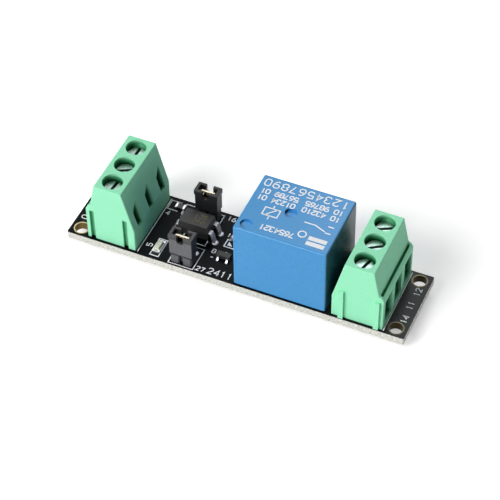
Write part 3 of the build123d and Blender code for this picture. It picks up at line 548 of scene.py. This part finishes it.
# %% [markdown]
# ## Clamps and the relay's inside
#
# The clamps and the relay's iron are pressed from soft steel and nickel-plated. The springs are
# rolled phosphor bronze, with fine marks along the rolling. The contact buttons are silver. Most
# of this is hidden, but the clamps show in the wire mouths, and hidden pieces are dressed too.

# %% Iron, bronze and silver
# Nickel on pressed iron: a warm grey with a dim gleam.
nickel, tree, shader = new_finish("nickel-plated soft iron", "B4B0A8", 0.35, Metallic=1.0)
grain(tree, shader, size_mm=0.5, height_mm=0.003, colours=("A39F97", "C2BFB8"), rough=(0.28, 0.45))
# Rolled bronze: reddish, with streaks along the strip.
bronze, tree, shader = new_finish("rolled phosphor bronze", "C08A56", 0.3, Metallic=1.0)
grain(
    tree, shader, size_mm=0.4, height_mm=0.002, colours=("B07A49", "CE9864"), rough=(0.22, 0.38),
    stretch=(0.15, 1, 1),
)
# Silver alloy, formed cold: nearly white.
silver, tree, shader = new_finish("silver contact alloy", "E0DED8", 0.3, Metallic=1.0)
grain(tree, shader, size_mm=0.3, height_mm=0.003, colours=("CFCDC6", "EDECE8"), rough=(0.25, 0.4))
dress(nickel, *[f"{block}_clamp_{way}" for block in blocks for way in ways])
dress(nickel, "relay_core", "relay_yoke", "relay_armature")
dress(bronze, "relay_leaf", "relay_return_spring")
dress(silver, "relay_moving_button")
print("inner metals dressed")

# %% [markdown]
# ## Terminal housings
#
# The housings are injection-moulded polyamide with a fine spark-eroded skin: satin, and slightly
# cloudy. A little light passes under the skin, which subsurface scattering gives. Inside the
# wells, slots and wire mouths the light is lost and the green turns bottle green. That is drawn
# by how deep a point lies behind the outer skin, because the lamps alone leave it too pale.

# %% Green polyamide
# Moulded against an eroded tool: an even satin green. The pits of such a skin are about 0.05 mm
# wide, and are drawn five times as coarse so that they show.
green, tree, shader = new_finish(
    "green moulded polyamide", "9DEFC6", 0.42, IOR=1.53, Specular_IOR_Level=0.05,
    Subsurface_Weight=0.08, Subsurface_Radius=(0.6 * MM, 1.0 * MM, 0.7 * MM),
)
grain(tree, shader, size_mm=0.25, height_mm=0.006, colours=("99EBC2", "A1F3CA"), rough=(0.36, 0.5))
dress(green, "input_block_housing", "output_block_housing")
print("housings dressed:", green.name)

# %% Planes of the outer skin
# The two blocks stand back to back, so planes over |x|, |y| and the height serve both.
housing_low, housing_high = low_high("output_block_housing")
block_middle = (middle_of("output_block_housing").x - middle_of("input_block_housing").x) / 2
half_depth = (housing_high.x - housing_low.x) / 2
block_top, block_end = housing_high.z, housing_high.y
top_back, top_front = block_middle - 2.8, block_middle + 3.0
back_foot, front_foot = block_middle - half_depth, block_middle + half_depth
hood_foot = board_top + 7.4
# Each plane is its outward normal and a point on it. The slope at the back counts a fifth more
# than it measures and the foot of the back double, because the narrow test slots darken sooner.
skin_planes = (
    ((0, 0, 1), (0, 0, block_top)),
    ((-1.16, 0, 0.29), (top_back, 0, block_top)),
    ((-2, 0, 0), (back_foot, 0, 0)),
    ((0, 1, 0), (0, block_end, 0)),
    ((1, 0, 0), (front_foot, 0, 0)),
)
front_slope = ((0.981, 0, 0.196), (top_front, 0, block_top))
hood = ((0.755, 0, 0.656), (front_foot, 0, hood_foot))
print("blocks", round(block_middle, 2), "mm from the middle")

# %% Depth behind the skin
where = add_node(tree, "ShaderNodeTexCoord")
folded = add_node(tree, "ShaderNodeVectorMath", links={0: where.outputs["Object"]}, operation="ABSOLUTE")


def depth_behind(normal, point):
    """Distance in millimetres by which the shaded point lies behind a plane."""
    inward = add_node(
        tree, "ShaderNodeVectorMath", {1: tuple(-n / MM for n in normal)}, {0: folded.outputs[0]},
        operation="DOT_PRODUCT",
    )
    offset = sum(n * p for n, p in zip(normal, point))
    return add_node(tree, "ShaderNodeMath", {1: offset}, {0: inward.outputs["Value"]}, operation="ADD")


# The front is hollow between slope and hood, so the deeper of the two counts there.
depth = add_node(
    tree, "ShaderNodeMath",
    links={0: depth_behind(*front_slope).outputs[0], 1: depth_behind(*hood).outputs[0]},
    operation="MAXIMUM",
)
for normal, point in skin_planes:
    depth = add_node(
        tree, "ShaderNodeMath", links={0: depth.outputs[0], 1: depth_behind(normal, point).outputs[0]},
        operation="MINIMUM",
    )
print("planes compared:", len(skin_planes) + 2)

# %% Bottle green in the wells
deepest_mm = 5.0
share = add_node(tree, "ShaderNodeMath", {1: 1 / deepest_mm}, {0: depth.outputs[0]}, operation="MULTIPLY")
shade = add_node(
    tree, "ShaderNodeValToRGB", links={"Fac": share.outputs[0]},
    stops=[
        (depth_mm / deepest_mm, code)
        for depth_mm, code in ((0.25, "FFFFFF"), (0.7, "84A996"), (1.4, "33604A"), (2.5, "131412"))
    ],
)
skin = shader.inputs["Base Color"].links[0].from_socket
darkened = add_node(
    tree, "ShaderNodeMix", {0: 1.0}, {6: skin, 7: shade.outputs[0]},
    data_type="RGBA", blend_type="MULTIPLY",
)
tree.links.new(darkened.outputs[2], shader.inputs["Base Color"])
print("depth colours:", len(shade.color_ramp.elements))

# %% [markdown]
# ## Relay cover
#
# The cover is moulded polyester, glossier than the housings, because its skin copies a polished
# mould. The side close behind the terminal block is darkened with painted shade, which the way
# its faces look picks out.

# %% Blue polyester
# Moulded against polished steel: a clear blue with a soft gloss.
blue, tree, shader = new_finish(
    "blue moulded polyester", "3990CE", 0.3, IOR=1.55, Specular_IOR_Level=0.35
)
grain(tree, shader, size_mm=0.3, height_mm=0.002, colours=("368DCB", "3C93D1"), rough=(0.24, 0.34))
# Painted shade on the faces that look toward the terminal block.
block_side_shade = add_node(
    tree, "ShaderNodeMapRange", {"From Min": 0.6, "From Max": 0.85},
    {"Value": along(tree, "Normal", "X")},
)
multiply_colour(tree, shader, block_side_shade.outputs[0], "807A74")
dress(blue, "relay_cover")
print("cover dressed:", blue.name)

# %% [markdown]
# ## Black plastics
#
# Header strips, jumper caps, the relay's base and its bobbin are black polyamide. The near cap
# and its strip have a painted sheen: grey on their near faces. A charcoal finish for that pair,
# darkened away from that sheen, keeps the collar, the sides and the seam black, with a painted
# shadow along the seam under the cap.

# %% Black polyamide
# Moulded black: a dim satin that is never quite black.
black, tree, shader = new_finish(
    "black moulded polyamide", "151618", 0.45, IOR=1.53, Specular_IOR_Level=0.35
)
grain(tree, shader, size_mm=0.2, height_mm=0.006, colours=("121315", "191A1D"), rough=(0.38, 0.55))
dress(black, "relay_base", "relay_bobbin", "far_header_base", "far_jumper_cap")
print("black pieces dressed")

# %% Charcoal polyamide
# Moulded black, with a painted sheen: a flat mid grey.
grey, tree, shader = new_finish("black moulded polyamide, painted sheen", "4E4F53", 0.45, IOR=1.53)
grain(tree, shader, size_mm=0.2, height_mm=0.006, colours=("525357", "5E5F63"), rough=(0.38, 0.55))
collar_height, seam_drop, seam_half = 1.05, 0.1, 0.22
collar_foot = low_high("near_jumper_cap")[1].z - collar_height
seam_middle = low_high("near_header_base")[1].z - seam_drop
# Only the near faces below the collar keep the grey of the painted sheen; a band at the seam is painted
# shadow.
not_near = add_node(
    tree, "ShaderNodeMath", {1: -0.5}, {0: along(tree, "Normal", "Y")}, operation="GREATER_THAN"
)
up_cap = along(tree, "Object", "Z")
collar = add_node(
    tree, "ShaderNodeMath", {1: collar_foot * MM}, {0: up_cap}, operation="GREATER_THAN"
)
seam_shadow = add_node(
    tree, "ShaderNodeMath", {1: seam_middle * MM, 2: seam_half * MM}, {0: up_cap},
    operation="COMPARE",
)
no_sheen = add_node(
    tree, "ShaderNodeMath", links={0: not_near.outputs[0], 1: collar.outputs[0]}, operation="MAXIMUM"
)
no_sheen = add_node(
    tree, "ShaderNodeMath", links={0: no_sheen.outputs[0], 1: seam_shadow.outputs[0]}, operation="MAXIMUM"
)
multiply_colour(tree, shader, no_sheen.outputs[0], "7E7E80")
dress(grey, "near_header_base", "near_jumper_cap")
print("collar from", round(collar_foot, 2), "mm up")

# %% [markdown]
# ## Epoxy bodies and the winding
#
# Chips with legs are moulded in epoxy filled with quartz flour, which leaves a dull, sooty black.
# The coil is enamelled copper wire. Its turns are thinner than a pixel, so rings drawn coarser
# stand for them.

# %% Epoxy and enamelled wire
# Moulded with much filler: matt, with no clear gleam.
epoxy, tree, shader = new_finish("transfer-moulded epoxy", "131412", 0.6, IOR=1.55)
grain(tree, shader, size_mm=0.15, height_mm=0.008, colours=("0E0F0D", "191A17"), rough=(0.5, 0.7))
dress(epoxy, "optocoupler_body", "transistor_body")
# Copper under clear enamel: a warm gleam that is partly the lacquer's own.
enamel, tree, shader = new_finish("enamelled copper wire", "A5532A", 0.3, Metallic=0.6)
# Turns of 0.1 mm wire are drawn three times as coarse so that they show.
rings(tree, shader, pitch_mm=0.3, height_mm=0.1, distortion=0.6)
dress(enamel, "relay_winding")
print("epoxy and winding dressed")

# %% [markdown]
# ## Chips
#
# Resistors wear a glazed film, the chip LED a white laminate under a cast lens, and the flyback
# diode is sealed in orange-red glass. Glass and lens let only part of the light through, because
# at this size clear glass would show more of the board behind it than of its own colour.

# %% Resistor and LED
# Fired glaze: black and glassy.
glaze, tree, shader = new_finish("glazed resistor film", "17171A", 0.25, IOR=1.55)
grain(tree, shader, size_mm=0.3, height_mm=0.004, colours=("121215", "1E1E22"), rough=(0.18, 0.32))
# Pressed laminate with white filler: chalky.
white_base, tree, shader = new_finish("white filled laminate", "E4E2D6", 0.55, IOR=1.5)
grain(tree, shader, size_mm=0.3, height_mm=0.01, colours=("DAD8CA", "ECEAE0"), rough=(0.5, 0.65))
# Cast clear: pale, with a small bright spot.
lens, tree, shader = new_finish("clear cast epoxy", "E6ECD6", 0.16, IOR=1.54, Transmission_Weight=0.25)
grain(tree, shader, size_mm=0.5, height_mm=0.0, colours=("C9D6B6", "F0F4E4"), rough=(0.1, 0.24))
dress(glaze, *[f"resistor_{number}_body" for number in (1, 2, 3)])
dress(white_base, "led_base")
dress(lens, "led_lens")
print("chips dressed")

# %% Diode glass
# Drawn and sealed by heat: deep red with a hard gleam.
ruby, tree, shader = new_finish(
    "orange-red sealed glass", "A83318", 0.1, IOR=1.52, Transmission_Weight=0.35
)
grain(tree, shader, size_mm=0.5, height_mm=0.0, colours=("8E2810", "C24522"), rough=(0.06, 0.16))
dress(ruby, "diode_body")
print("diode dressed:", ruby.name)

# %% [markdown]
# ## White print
#
# The board's outlines and numbers are screen-printed epoxy ink, about 0.025 mm thick. A texture
# would need an image. Flat ribbons that follow a line of points, with mitred corners and closed
# sides, give the same edge and a real thickness.

# %% Ribbons along lines
INK = 0.025
SHARPEST_MITRE = 0.4


def ribbon(bm, points, width, low, high, closed=False):
    """Flat closed ribbon along points in millimetres, with mitred corners."""
    points = [Vector(p) for p in points]
    count = len(points)
    rows = []
    for index, point in enumerate(points):
        headings = []
        if closed or index:
            headings.append((point - points[index - 1]).normalized())
        if closed or index < count - 1:
            headings.append((points[(index + 1) % count] - point).normalized())
        normals = [Vector((-heading.y, heading.x)) for heading in headings]
        mitre = sum(normals, Vector((0, 0))).normalized()
        reach = width / 2 / max(mitre.dot(normals[0]), SHARPEST_MITRE)
        left, right_side = point + mitre * reach, point - mitre * reach
        rows.append([
            bm.verts.new((p.x * MM, p.y * MM, z * MM))
            for p, z in ((left, low), (left, high), (right_side, high), (right_side, low))
        ])
    for index in range(count if closed else count - 1):
        a, b = rows[index], rows[(index + 1) % count]
        for corner in range(4):
            following = (corner + 1) % 4
            bm.faces.new((a[corner], b[corner], b[following], a[following]))
    if not closed:
        bm.faces.new(rows[0])
        bm.faces.new(reversed(rows[-1]))


def printed_piece(name, strokes, width, surface, material, thickness=INK):
    """One object of many ribbons: strokes are (points, closed)."""
    bm = bmesh.new()
    for points, closed in strokes:
        ribbon(bm, points, width, surface, surface + thickness, closed)
    bmesh.ops.recalc_face_normals(bm, faces=bm.faces)
    mesh = bpy.data.meshes.new(name)
    bm.to_mesh(mesh)
    bm.free()
    mesh.materials.append(material)
    piece = bpy.data.objects.new(name, mesh)
    bpy.context.scene.collection.objects.link(piece)
    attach(piece, "root")
    return piece


print("ink is", INK, "mm thick")

# %% [markdown]
# ### Numbers
#
# The numbers are plain strokes on a grid four units wide and six high, as a plotter draws them.
# A font would bring someone's letter shapes along, and a plotter's strokes look right this small.

# %% Digits as strokes
GRID_WIDE, GRID_HIGH = 4, 6
DIGITS = {
    "0": ([(1, 0), (3, 0), (4, 1), (4, 5), (3, 6), (1, 6), (0, 5), (0, 1)], True),
    "1": ([(1, 5), (2, 6), (2, 0)], False),
    "2": ([(0, 5), (1, 6), (3, 6), (4, 5), (4, 4), (0, 0), (4, 0)], False),
    "3": (
        [(0, 5), (1, 6), (3, 6), (4, 5), (4, 4), (3, 3), (4, 2), (4, 1), (3, 0), (1, 0), (0, 1)],
        False,
    ),
    "4": ([(3, 0), (3, 6), (0, 2), (4, 2)], False),
    "5": ([(4, 6), (0, 6), (0, 3.5), (3, 3.5), (4, 2.5), (4, 1), (3, 0), (1, 0), (0, 1)], False),
    "6": (
        [(3.6, 5.6), (2.4, 6), (1, 5), (0, 3), (0, 1), (1, 0), (3, 0), (4, 1), (4, 2.4), (3, 3.4),
         (0.2, 3.2)],
        False,
    ),
    "7": ([(0, 6), (4, 6), (1.5, 0)], False),
    "8": (
        [(1, 3.1), (0, 4), (0, 5), (1, 6), (3, 6), (4, 5), (4, 4), (3, 3.1), (4, 2.2), (4, 1), (3, 0),
         (1, 0), (0, 1), (0, 2.2)],
        True,
    ),
    "9": (
        [(3.8, 2.8), (1, 2.6), (0, 3.6), (0, 5), (1, 6), (3, 6), (4, 5), (4, 3), (3, 1), (1.6, 0),
         (0.4, 0.4)],
        False,
    ),
}


def number_strokes(text, x, y, height, angle=0.0, gap=0.3):
    """Strokes of a plain number whose middle is at x, y, turned by an angle in degrees."""
    unit = height / GRID_HIGH
    step = unit * (GRID_WIDE + GRID_HIGH * gap)
    start = -step * (len(text) - 1) / 2
    turned = Matrix.Rotation(radians(angle), 2)
    strokes = []
    for index, digit in enumerate(text):
        if digit == " ":
            continue
        points, closed = DIGITS[digit]
        moved = []
        for px, py in points:
            across = start + step * index + (px - GRID_WIDE / 2) * unit
            local = Vector((across, (py - GRID_HIGH / 2) * unit))
            moved.append(tuple(turned @ local + Vector((x, y))))
        strokes.append((moved, closed))
    return strokes


print("digits ready:", len(DIGITS))

# %% [markdown]
# ### Outlines on the board
#
# Each outline belongs to a piece and shows where it goes. So each is a box or a line with its
# margins from that piece's own box. Parts that the pieces cover are left open, as on the board.

# %% Ink
# Screen-printed epoxy: an even, chalky white.
ink, tree, shader = new_finish("white screen ink", "F2F5F8", 0.55, IOR=1.5)
grain(tree, shader, size_mm=0.15, height_mm=0.004, colours=("E4E8EC", "FBFCFD"), rough=(0.5, 0.65))
print("ink:", ink.name)


# %% Outlines on the board
def rectangle(x0, y0, x1, y1):
    """Corners of an upright rectangle, in order."""
    return [(x0, y0), (x1, y0), (x1, y1), (x0, y1)]


def around(node, left, near, right, far):
    """Sides of a box around a piece, with a margin in millimetres on each side."""
    low, high = low_high(node)
    return low.x - left, low.y - near, high.x + right, high.y + far


input_line = low_high("input_block_housing")[1].x + 0.35
output_line = low_high("output_block_housing")[1].x + 0.18
input_reach, output_reach = board_high.y - 0.7, board_high.y - 0.5
opto_left, opto_near, opto_right, opto_far = around("optocoupler_body", -1.1, 0.77, -0.3, 0.8)
opto_notch = low_high("optocoupler_body")[0].y + 0.6
chip_left, chip_near, chip_right, chip_far = around("resistor_1_body", 1.78, 0.575, -0.78, 0.575)
diode_left, diode_near, diode_right = around("diode_ends", 0.45, 1.7, 2.05, 0)[:3]
diode_far = low_high("diode_ends")[0].y + 0.2
tick_x, tick_y = diode_left - 0.2, diode_far + 0.65
dash_x, dash_y = around("transistor_body", 1.02, 0.15, 0, 0)[:2]
outlines = [
    ([(input_line, -input_reach), (input_line, input_reach)], False),
    ([(output_line, -output_reach), (output_line, output_reach)], False),
    (rectangle(*around("near_header_base", 0.405, 0.37, 0.405, 2.7)), True),
    (rectangle(*around("far_header_base", 3.255, -0.08, 0.455, 0.25)), True),
    ([(opto_left, opto_near), (opto_right, opto_near), (opto_right, opto_notch)], False),
    ([(opto_left, opto_far), (opto_left, opto_near)], False),
    ([(chip_right, chip_far), (chip_left, chip_far), (chip_left, chip_near), (chip_right, chip_near)], False),
    (rectangle(*around("led_ends", 0.1, 0.62, 0.1, 0.65)), True),
    (
        [(diode_right, diode_far), (diode_left, diode_far), (diode_left, diode_near),
         (diode_right, diode_near)],
        False,
    ),
    ([(tick_x, tick_y + 1), (tick_x, tick_y)], False),
    ([(dash_x, dash_y), (dash_x + 0.5, dash_y)], False),
]
printed_piece("board_outlines", outlines, 0.2, board_top, ink)
print("outlines:", len(outlines))

# %% Arrow of the diode
# A closed line as wide as the triangle's inner circle leaves no hole, so it prints solid.
arrow_x, arrow_y, arrow_long, arrow_high = diode_left + 0.66, diode_near + 0.61, 0.51, 0.56
arrow = [([(arrow_x, arrow_y), (arrow_x, arrow_y + arrow_high), (arrow_x + arrow_long, arrow_y)], True)]
printed_piece("diode_arrow", arrow, 0.31, board_top, ink)
print("arrow at", round(arrow_x, 2), round(arrow_y, 2))

# %% [markdown]
# ### Numbers on the board
#
# Plain numbers stand along both ends for the terminals, and beside the parts. Each row below is a
# number, its middle in millimetres from the board's middle, its height and its turn in degrees.
# The places are chosen so that the print fills the board as in the photo.

# %% Numbers on the board
numbers = []
for text, x, y, height, angle in (
    ("14", 33.5, -3.7, 1.15, 90),
    ("11", 33.3, -0.1, 1.15, 90),
    ("12", 33.4, 3.6, 1.15, 90),
    ("0", -33.5, -3.5, 1.3, -90),
    ("2", -33.6, 0.0, 1.3, -90),
    ("3", -33.6, 3.6, 1.3, -90),
    ("4", -19.0, 3.9, 1.0, 0),
    ("5", -18.6, -5.2, 1.1, 90),
    ("16", -6.7, 7.2, 1.0, 0),
    ("27", -6.9, -7.2, 1.0, 0),
    ("8", -6.4, -1.9, 1.0, 0),
    ("24", -4.2, -6.9, 1.4, 0),
    ("11", -1.6, -6.9, 1.4, 0),
):
    numbers += number_strokes(text, x, y, height, angle)
printed_piece("board_numbers", numbers, 0.19, board_top, ink)
print("number strokes:", len(numbers))

# %% [markdown]
# ### Marks on the optocoupler
#
# A laser has burnt two rows into the epoxy's skin, nearer the legs on the relay's side. The burn
# bleaches the black to a dull olive. It has no thickness to speak of, but ribbons as thin as the
# ink let it share the helper of the print.

# %% Laser marks
# Bleached by a laser: dry and olive, with no gleam.
bleached, tree, shader = new_finish("laser-bleached epoxy", "56533B", 0.75, IOR=1.5)
grain(tree, shader, size_mm=0.1, height_mm=0.004, colours=("43402D", "656146"), rough=(0.7, 0.85))
opto_middle, opto_top = middle_of("optocoupler_body"), low_high("optocoupler_body")[1].z
mark_x, mark_height = opto_middle.x + 0.7, 0.95
marks = number_strokes("135", mark_x, opto_middle.y + 0.6, mark_height)
marks += number_strokes("246", mark_x, opto_middle.y - 0.7, mark_height)
printed_piece("optocoupler_marks", marks, 0.16, opto_top, bleached)
print("laser marks:", len(marks))

# %% [markdown]
# ## Copper under the lacquer
#
# On the solder side the copper tracks stand 0.03 mm proud under the black lacquer. Wide ones carry
# the switched current from the relay to its terminals, and narrow ones carry the signals. They
# are ribbons like the print, a little thicker, in the lacquer's own colour.

# %% Ends of the tracks
TRACK = 0.03
under = board_low.z - TRACK
terminal_inset, strip_half = 0.4, 0.15
terminal = {}
for way in ways:
    terminal["input", way] = (
        low_high(f"input_contact_{way}")[1].x - terminal_inset, middle_of(f"input_contact_{way}").y
    )
    terminal["output", way] = (
        low_high(f"output_contact_{way}")[0].x + terminal_inset, middle_of(f"output_contact_{way}").y
    )
coil = [tuple(middle_of(f"relay_coil_pin_{number}").xy) for number in (1, 2)]
common_y = middle_of("relay_common_pin").y
open_y = low_high("relay_open_contact")[0].y + strip_half
closed_y = low_high("relay_closed_contact")[1].y - strip_half
contact_x = low_high("relay_open_contact")[1].x - 0.52
print("terminals:", len(terminal))

# %% Tracks on the solder side
# Lacquer over copper: the same black, raised and a touch brighter.
lacquer, tree, shader = new_finish(
    "lacquer over copper", "1A2124", 0.36, IOR=1.45, Specular_IOR_Level=0.3
)
grain(tree, shader, size_mm=2.0, height_mm=0.002, colours=("161D20", "20282C"), rough=(0.3, 0.42))
power = [
    ([(contact_x, closed_y), (19.5, closed_y), terminal["output", 1]], False),
    ([(contact_x, open_y), (19.5, open_y), terminal["output", 3]], False),
    ([(2.6, common_y), (20.0, common_y), terminal["output", 2]], False),
]
signal = [
    ([coil[0], (0.5, -6.3), (-3.9, -3.9)], False),
    ([coil[1], (-2.0, 5.6), (-4.0, 5.2)], False),
    ([terminal["input", 3], (-18.5, 5.08), (-15.9, 2.8)], False),
    ([terminal["input", 2], (-18.0, 0.0), (-15.9, 0.2)], False),
    ([terminal["input", 1], (-18.0, -6.3), (-12.2, -6.3)], False),
    ([(-7.2, 0.2), (-5.5, -1.0), (-4.0, -1.2)], False),
]
printed_piece("power_tracks", power, 2.2, under, lacquer, thickness=TRACK)
printed_piece("signal_tracks", signal, 0.7, under, lacquer, thickness=TRACK)
print("tracks:", len(power) + len(signal))

# %% [markdown]
# ## Print on the relay
#
# A relay cover carries pad-printed rows that read from the far side. Here they are plain numbers,
# and the middle holds the wiring sketch that such covers often show: a coil and a changeover
# contact. All places are measured from the middle of the cover's top.

# %% Rows on the relay
cover_top = low_high("relay_cover")[1].z
cover_middle = middle_of("relay_cover")
cx, cy = cover_middle.x, cover_middle.y
column = 4.5
rows = number_strokes("1234567890", cx, cy + 5.65, 1.7, 180, 0.35)
for row_y, row_text in ((cy + 3.4, "10 98765"), (cy + 1.65, "10 43210")):
    rows += number_strokes(row_text, cx + column, row_y, 1.1, 180, 0.2)
    rows += number_strokes(row_text[::-1], cx - column, row_y, 1.1, 180, 0.2)
rows += number_strokes("7654321", cx - 1.4, cy - 5.3, 1.15, 180, 0.2)
printed_piece("relay_rows", rows, 0.25, cover_top, ink)
print("strokes in the rows:", len(rows))

# %% Wiring sketch, ring and bars
coil_x, coil_foot, coil_head = cx - 4.2, cy - 2.3, cy - 0.4
contact_left, contact_right = cx + 6.9, cx + 8.0
ring_x, ring_y, ring_radius, ring_points = cx + 3.2, cy - 4.2, 0.75, 16
ring_turns = [2 * pi * number / ring_points for number in range(ring_points)]
sketch = [
    (rectangle(coil_x - 1.5, coil_foot, coil_x + 1.5, coil_head), True),
    ([(coil_x - 0.9, coil_foot), (coil_x + 0.9, coil_head)], False),
    ([(coil_x, coil_foot - 1.0), (coil_x, coil_foot)], False),
    ([(coil_x, coil_head), (coil_x, coil_head + 0.8)], False),
    ([(cx + 2.4, cy - 1.2), (cx + 4.6, cy - 1.2), (cx + 6.8, cy - 2.1)], False),
    ([(contact_left, cy - 0.6), (contact_right, cy - 0.6)], False),
    ([(contact_left, cy - 2.3), (contact_right, cy - 2.3)], False),
    ([(ring_x + ring_radius * cos(a), ring_y + ring_radius * sin(a)) for a in ring_turns], True),
]
printed_piece("relay_sketch", sketch, 0.26, cover_top, ink)
bars = [([(cx + 4.6, cy - y), (cx + 8.2, cy - y)], False) for y in (4.6, 5.9)]
printed_piece("relay_bars", bars, 0.95, cover_top, ink)
print("strokes in the sketch:", len(sketch) + len(bars))
